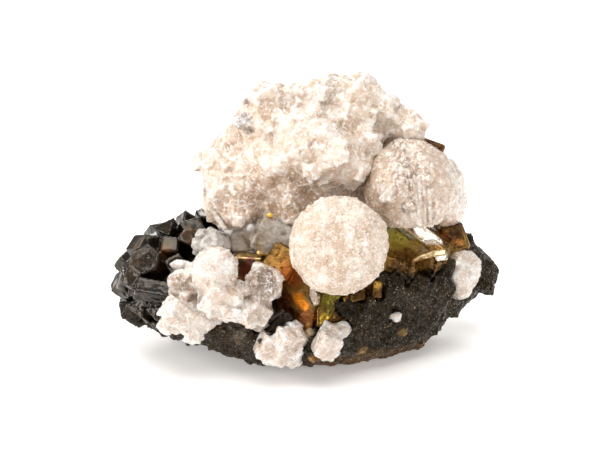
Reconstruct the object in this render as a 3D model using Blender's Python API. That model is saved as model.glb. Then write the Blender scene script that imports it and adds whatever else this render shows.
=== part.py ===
"""Calcite with pyrite on a dark sphalerite matrix: a small cabinet specimen, 82 mm wide.

The row frame is +Z up, with the origin under the middle of the specimen on the surface
that it rests on. +X is the viewer's right and -Y is the side that faces the viewer.
Places and sizes in the tables are millimetres; the meshes are made in metres.

Each mineral body is its own closed solid. Bodies that grew against each other meet with
a gap of SEAM, because each one in BODIES is cut by slightly grown copies of those before
it in that table.
"""

import math
import random

import bmesh
import bpy
from mathutils import Matrix, Vector, noise

MM = 0.001

# Driving dimensions of the specimen
FRONT_BUTTON = 9.6
RIGHT_BUTTON = 9.7
CUBE = 6.4
BUTTON_RIPPLE = 0.07
SEAM = 0.45
NOISE_SEED = 1

# Share of the triangles that each body keeps once its crystals are fused
KEPT_SHARE = {
    "calcite_disc_front": 0.80,
    "calcite_disc_right": 0.80,
    "calcite_mass": 0.44,
    "calcite_cluster_left": 0.46,
    "calcite_cluster_back": 0.50,
    "matrix": 0.42,
}
KEPT_BY_OTHERS = 0.68

COLLECTION = "calcite_with_pyrite"
WORKSHOP = "workshop"

# Colour, roughness and metallic value of each mineral
MINERALS = {
    "calcite": ((0.87, 0.80, 0.74, 1.0), 0.35, 0.0),
    "clear_calcite": ((0.72, 0.68, 0.65, 1.0), 0.18, 0.0),
    "pyrite": ((0.42, 0.29, 0.10, 1.0), 0.28, 0.9),
    "sphalerite": ((0.035, 0.030, 0.028, 1.0), 0.16, 0.3),
    "rock": ((0.050, 0.043, 0.038, 1.0), 0.55, 0.1),
}

# Front and back edge, and lower and upper edge, of the boat-shaped matrix along its
# length: x, front y, back y, bottom z, top z
KEEL_STATIONS = (
    (-37.0, -2.0, 7.0, 8.0, 12.0),
    (-34.0, -7.0, 12.0, 6.0, 15.0),
    (-29.0, -11.5, 16.0, 4.0, 17.5),
    (-22.0, -15.5, 18.5, 2.2, 19.0),
    (-13.0, -18.5, 20.0, 0.2, 18.0),
    (-3.0, -20.0, 21.0, -1.2, 17.0),
    (7.0, -20.0, 21.0, -1.2, 18.5),
    (16.0, -18.0, 19.5, -0.4, 21.0),
    (24.0, -12.0, 17.0, 1.8, 21.6),
    (29.5, -5.0, 15.5, 5.2, 21.4),
    (34.0, 1.0, 15.0, 7.6, 21.2),
    (37.5, 4.5, 14.0, 9.4, 19.4),
    (41.0, 7.0, 12.5, 11.2, 15.2),
)
KEEL_STEPS = 22
KEEL_RING = 18
MIDDLE_Y = 1.0
MIDDLE_Z = 10.0

# Flat broken faces of the matrix: a point on the face and its outward direction
BROKEN_FACES = (
    ((19.0, -11.8, 12.0), (0.52, -0.84, -0.16)),
    ((-14.0, -17.6, 6.0), (-0.18, -0.92, -0.36)),
    ((22.0, 17.0, 12.0), (0.35, 0.93, -0.12)),
)

# Angular chunks on the broken flanks of the matrix
ROCK_CHUNKS = 44
CHUNK_SIZES = (1.3, 2.5)

# The hollow in the front of the matrix in which the amber crystal stands: centre, radii,
# corners and the seed of their places
HOLLOW = ((2.0, -21.6, 19.4), (9.4, 7.6, 11.0), 16, 121)

# Rounded lumps of the calcite mass: x, y, z, radius
MASS_LUMPS = (
    (-15.0, -1.5, 37.0, 6.0),
    (-12.4, -3.0, 31.8, 4.8),
    (-8.2, 2.0, 49.8, 6.2),
    (1.6, -3.5, 46.6, 7.2),
    (9.6, 3.5, 50.2, 7.4),
    (15.6, 4.0, 47.4, 5.8),
    (20.8, 1.0, 47.4, 2.5),
    (8.0, -6.0, 43.0, 5.4),
    (-1.4, -1.0, 34.4, 8.4),
    (-13.2, 3.0, 44.4, 4.7),
    (-7.0, -3.0, 41.4, 5.5),
    (3.6, 4.5, 52.0, 5.6),
    (1.0, 10.0, 42.0, 11.0),
    (-9.0, 9.5, 37.0, 9.0),
    (13.0, 10.5, 38.5, 9.0),
    (3.0, 4.0, 30.0, 10.5),
    (16.0, 5.5, 31.0, 8.0),
    (1.0, 12.5, 27.0, 8.0),
    (-9.0, 10.0, 27.5, 7.0),
    (10.5, 11.5, 28.0, 7.0),
)
MASS_CRYSTALS = 120
MASS_SIZES = (1.9, 3.7)

# Blocky crystals that stand out of the mass: x, y, z, size, tilt x, tilt z in degrees
MASS_BLOCKS = (
    (-20.8, 0.0, 41.4, 3.0, 25.0, 40.0),
    (11.4, 1.0, 56.4, 4.6, 15.0, 25.0),
    (16.4, 1.5, 52.2, 4.2, 30.0, 60.0),
    (-8.2, -1.0, 54.8, 4.0, 35.0, 15.0),
    (3.4, 1.0, 56.2, 4.0, 20.0, 50.0),
    (21.4, 0.5, 49.0, 2.4, 10.0, 30.0),
    (-18.8, -3.0, 32.6, 3.4, 40.0, 20.0),
    (6.4, -9.6, 46.8, 4.2, 28.0, 70.0),
    (-4.4, -7.6, 44.0, 3.4, 35.0, 10.0),
    (12.0, -5.0, 46.0, 4.2, 30.0, 35.0),
    (-2.2, 2.0, 54.4, 4.4, 20.0, 30.0),
)

# Left calcite cluster: x, y, z, radius
CLUSTER_LUMPS = (
    (-19.2, -12.4, 21.0, 4.6),
    (-25.0, -10.6, 18.4, 2.6),
    (-23.8, -14.6, 14.2, 4.2),
    (-14.4, -15.6, 17.6, 4.0),
    (-10.2, -16.6, 14.6, 2.8),
    (-22.4, -16.8, 11.6, 2.3),
    (-27.2, -13.6, 11.8, 2.2),
    (-8.8, -15.0, 19.2, 3.4),
    (-8.2, -13.8, 22.0, 2.4),
)
CLUSTER_CRYSTALS = 40
CLUSTER_SIZES = (1.4, 2.6)

# Black crystals of the left crest: x, y, z, radius, sides, lean towards x, towards y
CREST_CRYSTALS = (
    (-32.0, -4.6, 20.4, 4.4, 6, -0.25, -0.75),
    (-28.2, -1.6, 22.8, 3.0, 4, 0.10, -0.60),
    (-33.6, 2.0, 21.0, 3.6, 4, -0.45, -0.20),
    (-28.6, 5.6, 22.8, 3.8, 3, -0.20, -0.30),
    (-24.0, 5.6, 23.0, 4.0, 4, 0.15, -0.45),
    (-21.2, 9.2, 24.8, 3.0, 6, 0.05, -0.15),
    (-34.2, -5.6, 17.2, 3.4, 4, -0.55, -0.65),
    (-37.0, -0.6, 14.2, 3.4, 6, -0.90, -0.25),
    (-37.0, 5.0, 16.6, 3.2, 4, -0.80, 0.25),
    (-33.2, -7.6, 12.0, 3.6, 3, -0.35, -0.90),
    (-29.6, -10.0, 12.6, 3.2, 4, -0.20, -0.95),
    (-31.0, 10.4, 20.0, 4.0, 4, -0.30, 0.50),
    (-34.6, 9.4, 14.2, 3.6, 6, -0.60, 0.70),
    (-25.8, 12.6, 22.0, 3.8, 3, 0.05, 0.55),
    (-27.0, -4.6, 19.6, 3.4, 4, 0.20, -0.70),
    (-36.2, -3.6, 10.0, 2.8, 3, -0.70, -0.60),
    (-19.8, 13.4, 23.4, 3.2, 4, 0.20, 0.50),
    (-31.2, 0.4, 23.6, 2.2, 3, -0.10, -0.10),
    (-25.0, 1.2, 23.6, 2.2, 6, 0.20, -0.60),
    (-36.6, 2.2, 10.0, 2.4, 4, -0.80, -0.20),
)


def metres(*values):
    """A point or size given in millimetres, in metres."""
    return Vector(values) * MM


def turn_to(direction, spin=0.0):
    """The rotation that takes +Z to a direction, after a spin about +Z in degrees."""
    aim = Vector(direction).normalized().to_track_quat("Z", "Y").to_matrix().to_4x4()
    return aim @ Matrix.Rotation(math.radians(spin), 4, "Z")


def clear_scene():
    """Leaves an empty scene with one collection for the specimen and one for its tools."""
    for obj in list(bpy.data.objects):
        bpy.data.objects.remove(obj, do_unlink=True)
    for name in (COLLECTION, WORKSHOP):
        bpy.context.scene.collection.children.link(bpy.data.collections.new(name))
    bpy.data.collections[WORKSHOP].hide_render = True


def tool(bm, name="tool"):
    """A workshop object made from a bmesh, which is freed."""
    mesh = bpy.data.meshes.new(name)
    bm.normal_update()
    bm.to_mesh(mesh)
    bm.free()
    obj = bpy.data.objects.new(name, mesh)
    obj.hide_render = True
    obj.display_type = "WIRE"
    bpy.data.collections[WORKSHOP].objects.link(obj)
    return obj


def cut_flat(bm, point, outward):
    """Cuts a closed bmesh off flat at a point in millimetres, and closes it again."""
    cut = bmesh.ops.bisect_plane(
        bm,
        geom=bm.verts[:] + bm.edges[:] + bm.faces[:],
        plane_co=metres(*point),
        plane_no=Vector(outward),
        clear_outer=True,
    )
    rim = [part for part in cut["geom_cut"] if isinstance(part, bmesh.types.BMEdge)]
    bmesh.ops.triangle_fill(bm, edges=rim, use_beauty=True, normal=Vector(outward))


def in_order(bm):
    """A copy of a bmesh whose faces come in the order of their vertices, so that each run
    gives the same solid. The given bmesh is freed."""
    loops = []
    for face in bm.faces:
        corners = [vert.index for vert in face.verts]
        first = corners.index(min(corners))
        loops.append(corners[first:] + corners[:first])
    fresh = bmesh.new()
    verts = [fresh.verts.new(vert.co) for vert in bm.verts]
    for corners in sorted(loops):
        fresh.faces.new([verts[i] for i in corners])
    bm.free()
    return fresh


def lump(centre, radii, corners, seed, grow=0.0, rotation=None):
    """A block with flat faces: the hull of evenly spread, slightly jittered points on
    an ellipsoid."""
    rng = random.Random(seed)
    golden = math.pi * (3.0 - math.sqrt(5.0))
    bm = bmesh.new()
    for i in range(corners):
        height = 1.0 - 2.0 * (i + 0.5) / corners
        ring = math.sqrt(1.0 - height * height)
        angle = golden * i + seed
        point = Vector((math.cos(angle) * ring, math.sin(angle) * ring, height))
        jitter = Vector(rng.uniform(-1.0, 1.0) for _ in range(3)) * 0.9 / math.sqrt(corners)
        point = (point + jitter).normalized()
        point = Vector(p * (r + grow) for p, r in zip(point, radii))
        if rotation:
            point = rotation @ point
        bm.verts.new((point + Vector(centre)) * MM)
    bmesh.ops.convex_hull(bm, input=bm.verts)
    bmesh.ops.recalc_face_normals(bm, faces=bm.faces)
    return tool(bm)


def rhomb(centre, size, axis, spin, stretch=0.72, grow=0.0):
    """A calcite rhombohedron: a cube standing on its corner, flattened along its axis."""
    bm = bmesh.new()
    bmesh.ops.create_cube(bm, size=(size + 2.0 * grow) * MM)
    corner_up = Vector((1.0, 1.0, 1.0)).rotation_difference(Vector((0.0, 0.0, 1.0)))
    flatten = Matrix.Diagonal((1.0, 1.0, stretch, 1.0))
    shape = flatten @ corner_up.to_matrix().to_4x4()
    place = Matrix.Translation(metres(*centre)) @ turn_to(axis, spin) @ shape
    bmesh.ops.transform(bm, matrix=place, verts=bm.verts)
    return tool(bm)


def prism(centre, radius, sides, axis, spin, depth, taper=0.72, grow=0.0):
    """A stout crystal with flat sides that narrows a little towards its tip."""
    bm = bmesh.new()
    bmesh.ops.create_cone(
        bm,
        cap_ends=True,
        segments=sides,
        radius1=(radius + grow) * MM,
        radius2=(radius * taper + grow) * MM,
        depth=(depth + 2.0 * grow) * MM,
    )
    place = Matrix.Translation(metres(*centre)) @ turn_to(axis, spin)
    bmesh.ops.transform(bm, matrix=place, verts=bm.verts)
    return tool(bm)


def block(centre, size, front, up, bevel=0.0, cuts=(), grow=0.0):
    """A cuboid crystal whose front face looks in one direction and its top roughly in
    another. Its edges may have narrow flats, and cuts, each a point and an outward
    direction, take off corners."""
    facing = Vector(front).normalized()
    top = (Vector(up) - facing * facing.dot(Vector(up))).normalized()
    right = top.cross(facing)
    axes = Matrix((right, -facing, top)).transposed().to_4x4()
    bm = bmesh.new()
    bmesh.ops.create_cube(bm, size=1.0)
    bmesh.ops.scale(bm, vec=[(side + 2.0 * grow) * MM for side in size], verts=bm.verts)
    if bevel:
        bmesh.ops.bevel(bm, geom=bm.edges[:], offset=bevel * MM, segments=1, affect="EDGES")
    bmesh.ops.transform(bm, matrix=Matrix.Translation(metres(*centre)) @ axes, verts=bm.verts)
    for point, outward in cuts:
        cut_flat(bm, Vector(point) + Vector(outward).normalized() * grow, outward)
    return tool(bm)


def button(centre, radius, thickness, axis, seed, grow=0.0, segments=26, rings=12, cuts=()):
    """A thick round calcite crystal: a flattened globe with a blunt, uneven rim."""
    bm = bmesh.new()
    bmesh.ops.create_uvsphere(bm, u_segments=segments, v_segments=rings, radius=1.0)
    bm.verts.index_update()
    bm = in_order(bm)
    place = Matrix.Translation(metres(*centre)) @ turn_to(axis, seed * 7.0)
    for vert in bm.verts:
        across = Vector((vert.co.x, vert.co.y))
        lift = math.copysign(abs(vert.co.z) ** 0.8, vert.co.z)
        wide = across.length ** 0.78
        uneven = 1.0 + BUTTON_RIPPLE * noise.noise(vert.co * 2.3 + Vector((seed, 0.0, 0.0)))
        if across.length > 1e-6:
            across = across.normalized() * wide * (radius * uneven + grow)
        height = lift * (thickness * 0.5 * uneven + grow)
        vert.co = metres(across.x, across.y, height)
    bmesh.ops.transform(bm, matrix=place, verts=bm.verts)
    for point, outward in cuts:
        cut_flat(bm, Vector(point) + Vector(outward).normalized() * grow, outward)
    bmesh.ops.recalc_face_normals(bm, faces=bm.faces)
    return tool(bm)


def between(table, x):
    """The row of a table of stations at x, blended between its neighbours."""
    for low, high in zip(table, table[1:]):
        if x <= high[0]:
            share = (x - low[0]) / (high[0] - low[0])
            share = share * share * (3.0 - 2.0 * share) * 0.5 + share * 0.5
            return [a + (b - a) * share for a, b in zip(low, high)]
    return list(table[-1])


def keel_ring(x):
    """The points of the matrix's cross-section at x, in millimetres."""
    _, front, back, low, high = between(KEEL_STATIONS, x)
    ring = []
    for i in range(KEEL_RING):
        angle = 2.0 * math.pi * i / KEEL_RING
        side = math.copysign(abs(math.cos(angle)) ** 0.75, math.cos(angle))
        rise = math.copysign(abs(math.sin(angle)) ** 0.70, math.sin(angle))
        narrow = 1.0 - 0.34 * max(0.0, -rise)
        y = (front + back) / 2.0 + (back - front) / 2.0 * side * narrow
        z = (low + high) / 2.0 + (high - low) / 2.0 * rise
        point = Vector((x, y, z))
        point += noise.noise_vector(point * 0.11) * 2.0
        point += noise.noise_vector(point * 0.33 + Vector((7.0, 0.0, 0.0))) * 1.1
        ring.append(point)
    return ring


def matrix_body(grow=0.0):
    """The matrix: a boat-shaped body lofted along x, with broken faces and angular chunks
    on its flanks."""
    first, last = KEEL_STATIONS[0][0], KEEL_STATIONS[-1][0]
    sections = [keel_ring(first + (last - first) * i / KEEL_STEPS) for i in range(KEEL_STEPS + 1)]
    bm = bmesh.new()
    rings = [[bm.verts.new(metres(*point)) for point in section] for section in sections]
    for a, b in zip(rings, rings[1:]):
        for i in range(KEEL_RING):
            j = (i + 1) % KEEL_RING
            bm.faces.new((a[i], a[j], b[j], b[i]))
    bm.faces.new(rings[0])
    bm.faces.new(rings[-1])
    bmesh.ops.recalc_face_normals(bm, faces=bm.faces)
    for point, outward in BROKEN_FACES:
        cut_flat(bm, point, outward)
    bmesh.ops.triangulate(bm, faces=bm.faces)
    bmesh.ops.recalc_face_normals(bm, faces=bm.faces)
    return [tool(bm)] + chunks(sections, grow)


def chunks(sections, grow):
    """Angular chunks half sunk in the flanks, clear of the surface it rests on."""
    rng = random.Random(101)
    made = []
    while len(made) < ROCK_CHUNKS:
        spot = rng.choice(rng.choice(sections[1:-1]))
        size = rng.uniform(*CHUNK_SIZES)
        spot = spot + Vector((0.0, MIDDLE_Y - spot.y, MIDDLE_Z - spot.z)).normalized() * size * 0.4
        beyond = max(
            Vector(outward).normalized().dot(spot - Vector(point)) for point, outward in BROKEN_FACES
        )
        if spot.z < size + 0.8 or beyond > 0.3:
            continue
        radii = (size * 1.3, size, size * 0.8)
        turn = Matrix.Rotation(rng.uniform(-0.5, 0.5), 3, "Y")
        made.append(lump(spot, radii, 9, 300 + len(made), grow, turn))
    return made


def studded(lumps, count, sizes, seed, grow, facing=None, corners=18):
    """Overlapping lumps with small rhombohedra standing on their open sides."""
    pieces = [
        lump(row[:3], (row[3],) * 3, corners, seed + i, grow) for i, row in enumerate(lumps)
    ]
    rng = random.Random(seed)
    made = 0
    while made < count:
        row = rng.choice(lumps)
        way = Vector(rng.gauss(0.0, 1.0) for _ in range(3)).normalized()
        if facing and way.dot(Vector(facing)) < -0.35:
            continue
        spot = Vector(row[:3]) + way * row[3] * 0.93
        inside = any((spot - Vector(other[:3])).length < other[3] * 0.9 for other in lumps if other != row)
        if inside:
            continue
        axis = way + Vector(rng.uniform(-0.5, 0.5) for _ in range(3))
        size = rng.uniform(*sizes)
        pieces.append(rhomb(spot, size, axis, rng.uniform(0.0, 120.0), grow=grow))
        made += 1
    return pieces


def calcite_mass(grow=0.0):
    """The large calcite mass on top."""
    pieces = studded(MASS_LUMPS, MASS_CRYSTALS, MASS_SIZES, 11, grow)
    for x, y, z, size, tilt, spin in MASS_BLOCKS:
        lean = (math.sin(math.radians(tilt)), -math.sin(math.radians(tilt)), 1.0)
        pieces.append(rhomb((x, y, z), size, lean, spin, 0.9, grow))
    blade = block((-18.4, -4.2, 30.4), (0.9, 0.9, 4.6), (0.3, -0.9, 0.3), (-0.5, 0.1, 0.85), grow=grow)
    return pieces + [blade]


def calcite_cluster_left(grow=0.0):
    """The white cluster low on the left of the front."""
    return studded(CLUSTER_LUMPS, CLUSTER_CRYSTALS, CLUSTER_SIZES, 23, grow, (0.0, -1.0, 0.2), 15)


def calcite_disc_front(grow=0.0):
    """The round button that faces the viewer."""
    return [button((6.4, -19.0, 30.2), FRONT_BUTTON, 9.6, (-0.05, -0.93, 0.36), 3, grow)]


def calcite_disc_right(grow=0.0):
    """The larger button behind it on the right, with the one that it has grown against."""
    foot = ((20.0, -9.0, 31.0), (0.05, -0.10, -1.0))
    return [
        button((21.0, -5.5, 37.8), RIGHT_BUTTON, 13.0, (0.34, -0.80, 0.50), 5, grow, 24, 12, (foot,)),
        button((28.6, 4.0, 33.6), 7.4, 8.6, (0.90, -0.25, 0.25), 8, grow, 18, 9),
    ]


def calcite_disc_small_right(grow=0.0):
    """The small upright button at the right end."""
    low = button((32.2, -0.4, 14.0), 2.7, 4.6, (0.55, -0.80, 0.10), 4, grow, 12, 7)
    return [button((32.8, -0.2, 17.6), 4.2, 5.0, (0.62, -0.75, 0.20), 9, grow, 16, 8), low]


def calcite_ball_grey(grow=0.0):
    """The clear grey ball of crystals above the left cluster."""
    return studded(((-18.8, -6.4, 25.6, 3.7),), 8, (1.8, 2.6), 31, grow, (0.0, -1.0, 0.4), 16)


def calcite_clear_blocks(grow=0.0):
    """Clear crystals under the front edge of the mass."""
    return [
        lump((-13.2, -4.6, 25.4), (2.9, 2.6, 3.8), 14, 41, grow),
        lump((-7.8, -6.0, 28.6), (3.3, 2.8, 3.1), 16, 42, grow),
        lump((-11.0, -5.0, 28.4), (2.2, 2.2, 2.2), 12, 43, grow),
    ]


def calcite_crystal_low_left(grow=0.0):
    """The white crystal low on the front, left of the middle."""
    return studded(
        ((-3.6, -18.6, 8.2, 3.5), (-7.0, -18.4, 6.4, 2.3), (-2.4, -18.2, 10.4, 2.1)),
        5, (1.8, 2.6), 51, grow, (0.0, -1.0, 0.2), 14,
    )


def calcite_crystal_low_middle(grow=0.0):
    """The white crystal low on the front, right of the middle."""
    return studded(
        ((5.4, -18.6, 11.2, 2.7), (4.0, -19.2, 8.4, 2.0), (7.6, -17.8, 12.0, 1.7)),
        6, (1.4, 2.2), 61, grow, (0.0, -1.0, 0.2), 14,
    )


def calcite_grain_left(grow=0.0):
    """A small crystal among the black ones."""
    return [lump((-25.6, -6.8, 21.4), (2.3, 1.3, 1.2), 12, 71, grow)]


def calcite_grain_right(grow=0.0):
    """A small crystal on the broken right face."""
    return [lump((18.0, -12.6, 12.4), (1.6, 1.2, 1.0), 12, 72, grow)]


def calcite_cluster_back(grow=0.0):
    """White crystals low on the back, as on the front."""
    lumps = ((-12.0, 19.0, 14.5, 4.4), (-6.0, 20.0, 12.0, 3.4), (-16.5, 17.5, 17.5, 3.2))
    return studded(lumps, 12, (1.8, 3.0), 81, grow, (0.0, 1.0, 0.2), 15)


def pyrite_front(grow=0.0):
    """The amber crystal under the front button, its ridge upright and its point down, with
    an olive crystal on its right and a striated slope on its left."""
    point_cut = ((-2.8, -16.0, 13.6), (-0.66, -0.30, -0.68))
    return [
        block((0.0, -10.7, 15.9), (9.0, 9.5, 15.0), (-0.45, -0.86, 0.22), (0.03, -0.1, 1.0),
              0.0, (point_cut,), grow),
        block((4.0, -12.7, 15.5), (6.5, 6.5, 8.0), (0.30, -0.85, 0.42), (-0.1, 0.4, 0.9), 0.3,
              (), grow),
        block((-4.0, -9.5, 22.1), (6.5, 7.0, 6.0), (-0.30, -0.72, 0.62), (0.55, 0.35, 0.75), 0.3,
              (), grow),
        lump((0.8, -17.2, 9.9), (1.5, 1.3, 1.7), 12, 88, grow),
    ]


def pyrite_left(grow=0.0):
    """The brown cube left of the middle, with a small striated one above it."""
    return [
        block((-11.8, -6.5, 20.7), (CUBE, CUBE, 6.0), (0.10, -0.95, 0.28), (0.05, 0.28, 0.96), 0.9,
              (), grow),
        block((-7.8, -6.2, 25.0), (3.0, 3.6, 3.4), (-0.50, -0.80, 0.35), (0.10, 0.35, 0.93), 0.2,
              (), grow),
    ]


def pyrite_right(grow=0.0):
    """The large crystal under the right button, with a bright flat along its upper edge,
    a rough crystal in front of its foot and a small one behind its end."""
    front, up = (-0.45, -0.885, 0.127), (0.476, -0.117, 0.872)
    bright_flat = ((22.7, -3.5, 26.6), (0.02, -0.78, 0.78))
    end = ((28.4, -7.5, 24.0), (0.97, -0.22, -0.05))
    return [
        block((22.6, 1.9, 21.6), (15.0, 12.0, 12.0), front, up, 0.0, (bright_flat, end), grow),
        block((18.4, -5.6, 20.2), (8.6, 5.4, 4.6), (-0.35, -0.9, 0.25), (0.4, 0.2, 0.9), 0.5,
              (), grow),
        block((30.6, 3.6, 23.6), (4.6, 5.0, 6.4), (0.2, -0.9, 0.3), (-0.3, 0.1, 0.9), 0.5,
              (), grow),
    ]


def pyrite_chips(grow=0.0):
    """Small golden crystals in the hollow under the front button."""
    return [
        block((9.4, -13.4, 16.8), (4.4, 3.4, 1.4), (0.2, -0.9, 0.4), (-0.2, 0.3, 0.9), 0.2, (), grow),
        block((11.6, -13.4, 14.9), (4.0, 3.6, 1.8), (0.2, -0.9, 0.3), (-0.35, 0.1, 0.95), 0.2, (), grow),
        block((13.9, -12.4, 18.4), (1.8, 3.0, 3.2), (0.4, -0.9, 0.2), (0.2, 0.0, 1.0), 0.2, (), grow),
        lump((12.2, -10.8, 16.4), (3.4, 2.8, 3.2), 12, 77, grow),
    ]


def pyrite_top(grow=0.0):
    """The brown crystal between the mass and the right button."""
    return [
        block((25.2, 4.6, 42.6), (5.2, 4.6, 3.0), (0.2, -0.9, 0.3), (0.35, 0.2, 0.9), 0.3, (), grow),
    ]


def pyrite_back(grow=0.0):
    """Cubes on the back of the matrix, under the mass."""
    return [
        block((6.0, 17.0, 19.6), (8.0, 7.0, 7.4), (0.30, 0.90, 0.30), (0.2, -0.3, 0.9), 0.6, (), grow),
        block((13.0, 16.2, 21.0), (CUBE, 6.0, 6.2), (0.62, 0.75, -0.10), (0.1, 0.2, 0.97), 0.5, (), grow),
        block((0.6, 18.2, 17.0), (4.6, 4.4, 4.4), (-0.45, 0.80, 0.40), (0.3, -0.2, 0.9), 0.4, (), grow),
    ]


def sphalerite_crest(grow=0.0):
    """The cluster of lustrous black crystals that forms the left end."""
    pieces = [lump((-30.5, 2.5, 15.0), (8.6, 10.5, 7.4), 26, 91, grow)]
    for i, (x, y, z, radius, sides, lean_x, lean_y) in enumerate(CREST_CRYSTALS):
        axis = (lean_x, lean_y, 0.65)
        spin = 37.0 * i
        pieces.append(prism((x, y, z), radius, sides, axis, spin, radius * 1.7, 0.74, grow))
    pieces.append(
        block((-28.6, -9.2, 15.6), (8.6, 3.6, 3.2), (-0.1, -0.9, 0.4), (-0.2, 0.4, 0.9), 0.3, (), grow)
    )
    return pieces


def sphalerite_front(grow=0.0):
    """Black prisms low on the front, between the white crystals."""
    return [
        prism((-6.4, -15.8, 12.0), 2.6, 4, (0.92, -0.25, 0.30), 20.0, 8.0, 0.9, grow),
        prism((-6.8, -14.6, 15.0), 2.0, 3, (0.55, -0.40, -0.70), 50.0, 5.6, 0.8, grow),
        prism((-9.6, -14.8, 12.2), 2.6, 6, (0.10, -0.85, 0.20), 15.0, 4.2, 0.8, grow),
    ]


# Each body, its maker and its mineral; a body takes its shape before those that follow
BODIES = (
    ("calcite_disc_front", calcite_disc_front, "calcite"),
    ("calcite_disc_right", calcite_disc_right, "calcite"),
    ("calcite_disc_small_right", calcite_disc_small_right, "calcite"),
    ("calcite_cluster_left", calcite_cluster_left, "calcite"),
    ("calcite_ball_grey", calcite_ball_grey, "clear_calcite"),
    ("calcite_crystal_low_left", calcite_crystal_low_left, "calcite"),
    ("calcite_crystal_low_middle", calcite_crystal_low_middle, "calcite"),
    ("calcite_grain_left", calcite_grain_left, "calcite"),
    ("calcite_grain_right", calcite_grain_right, "calcite"),
    ("calcite_cluster_back", calcite_cluster_back, "calcite"),
    ("pyrite_right", pyrite_right, "pyrite"),
    ("pyrite_front", pyrite_front, "pyrite"),
    ("pyrite_left", pyrite_left, "pyrite"),
    ("pyrite_chips", pyrite_chips, "pyrite"),
    ("pyrite_top", pyrite_top, "pyrite"),
    ("pyrite_back", pyrite_back, "pyrite"),
    ("calcite_clear_blocks", calcite_clear_blocks, "clear_calcite"),
    ("calcite_mass", calcite_mass, "calcite"),
    ("sphalerite_front", sphalerite_front, "sphalerite"),
    ("sphalerite_crest", sphalerite_crest, "sphalerite"),
    ("matrix", matrix_body, "rock"),
)


def material(mineral):
    """The Principled material of a mineral."""
    colour, roughness, metallic = MINERALS[mineral]
    made = bpy.data.materials.get(mineral) or bpy.data.materials.new(mineral)
    made.use_nodes = True
    shader = made.node_tree.nodes["Principled BSDF"]
    shader.inputs["Base Color"].default_value = colour
    shader.inputs["Roughness"].default_value = roughness
    shader.inputs["Metallic"].default_value = metallic
    made.diffuse_color = colour
    return made


def boolean(obj, operation, tools, name):
    """Adds a Boolean by a collection of tools to an object."""
    shelf = bpy.data.collections.new(name)
    bpy.data.collections[WORKSHOP].children.link(shelf)
    for piece in tools:
        shelf.objects.link(piece)
    modifier = obj.modifiers.new(name, "BOOLEAN")
    modifier.operation = operation
    modifier.operand_type = "COLLECTION"
    modifier.collection = shelf
    modifier.solver = "EXACT"


def evaluated(obj):
    """A bmesh of an object as its modifiers leave it."""
    graph = bpy.context.evaluated_depsgraph_get()
    bm = bmesh.new()
    bm.from_object(obj, graph)
    return bm


def bodies_of(bm):
    """The connected bodies of a bmesh, as lists of faces."""
    left = set(bm.faces)
    found = []
    while left:
        body, front = set(), [left.pop()]
        while front:
            face = front.pop()
            body.add(face)
            near = {other for edge in face.edges for other in edge.link_faces} & left
            left -= near
            front.extend(near)
        found.append(body)
    return found


def drop_crumbs(bm):
    """Keeps the largest body, without the crumbs that a cut left loose."""
    largest = max(bodies_of(bm), key=len)
    crumbs = [face for face in bm.faces if face not in largest]
    bmesh.ops.delete(bm, geom=crumbs, context="FACES")
    bmesh.ops.recalc_face_normals(bm, faces=bm.faces)


def fused(pieces, seats, kept_share):
    """One closed body: the union of the pieces, less the grown neighbours. kept_share is
    the share of the triangles that is kept; slivers and nearly flat folds go first."""
    base = pieces[0]
    if len(pieces) > 1:
        boolean(base, "UNION", pieces[1:], "grown_together")
    if seats:
        boolean(base, "DIFFERENCE", seats, "seats")
    base.modifiers.new("triangles", "TRIANGULATE")
    fewer = base.modifiers.new("fewer", "DECIMATE")
    fewer.ratio = kept_share
    bm = evaluated(base)
    drop_crumbs(bm)
    return bm


def span(piece):
    """The lowest and highest corners of a piece's mesh."""
    points = [vert.co for vert in piece.data.vertices]
    low = [min(point[i] for point in points) for i in range(3)]
    high = [max(point[i] for point in points) for i in range(3)]
    return low, high


def meet(one, other):
    """Whether the boxes around two pieces overlap, each given as its span."""
    return all(one[0][i] < other[1][i] and other[0][i] < one[1][i] for i in range(3))


def clear_workshop():
    """Removes the pieces and shelves that the last body was made from."""
    for piece in list(bpy.data.collections[WORKSHOP].all_objects):
        bpy.data.objects.remove(piece, do_unlink=True)
    for shelf in list(bpy.data.collections[WORKSHOP].children):
        bpy.data.collections.remove(shelf)


def settle():
    """Puts the origin under the middle of the specimen's bounding box."""
    bodies = bpy.data.collections[COLLECTION].objects
    spans = [span(body) for body in bodies]
    middle = [
        (min(low[i] for low, _ in spans) + max(high[i] for _, high in spans)) / 2.0 for i in (0, 1)
    ]
    for body in bodies:
        body.data.transform(Matrix.Translation((-middle[0], -middle[1], 0.0)))


def build():
    """Builds every body in turn and puts it in the specimen's collection."""
    for order, (name, maker, mineral) in enumerate(BODIES):
        pieces = maker()
        spans = [span(piece) for piece in pieces]
        grown = [piece for _, earlier, _ in BODIES[:order] for piece in earlier(SEAM)]
        seats = [piece for piece in grown if any(meet(span(piece), own) for own in spans)]
        if name == "matrix":
            seats.append(lump(*HOLLOW))
        bm = fused(pieces, seats, KEPT_SHARE.get(name, KEPT_BY_OTHERS))
        if name == "matrix":
            cut_flat(bm, Vector(), (0.0, 0.0, -1.0))
            bmesh.ops.triangulate(bm, faces=bm.faces)
        mesh = bpy.data.meshes.new(name)
        bm.to_mesh(mesh)
        bm.free()
        mesh.materials.append(material(mineral))
        body = bpy.data.objects.new(name, mesh)
        bpy.data.collections[COLLECTION].objects.link(body)
        clear_workshop()


def main():
    """Makes the specimen."""
    noise.seed_set(NOISE_SEED)
    clear_scene()
    build()
    settle()


main()
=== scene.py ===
"""Looks of a calcite with pyrite specimen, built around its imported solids.

Every piece starts from the solids of one or more nodes. Their surface is remeshed finely,
softened, grown over with small flat-faced crystals, painted, and given its finish. Lengths
are millimetres while a surface is under work, and metres in the objects.
"""

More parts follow.
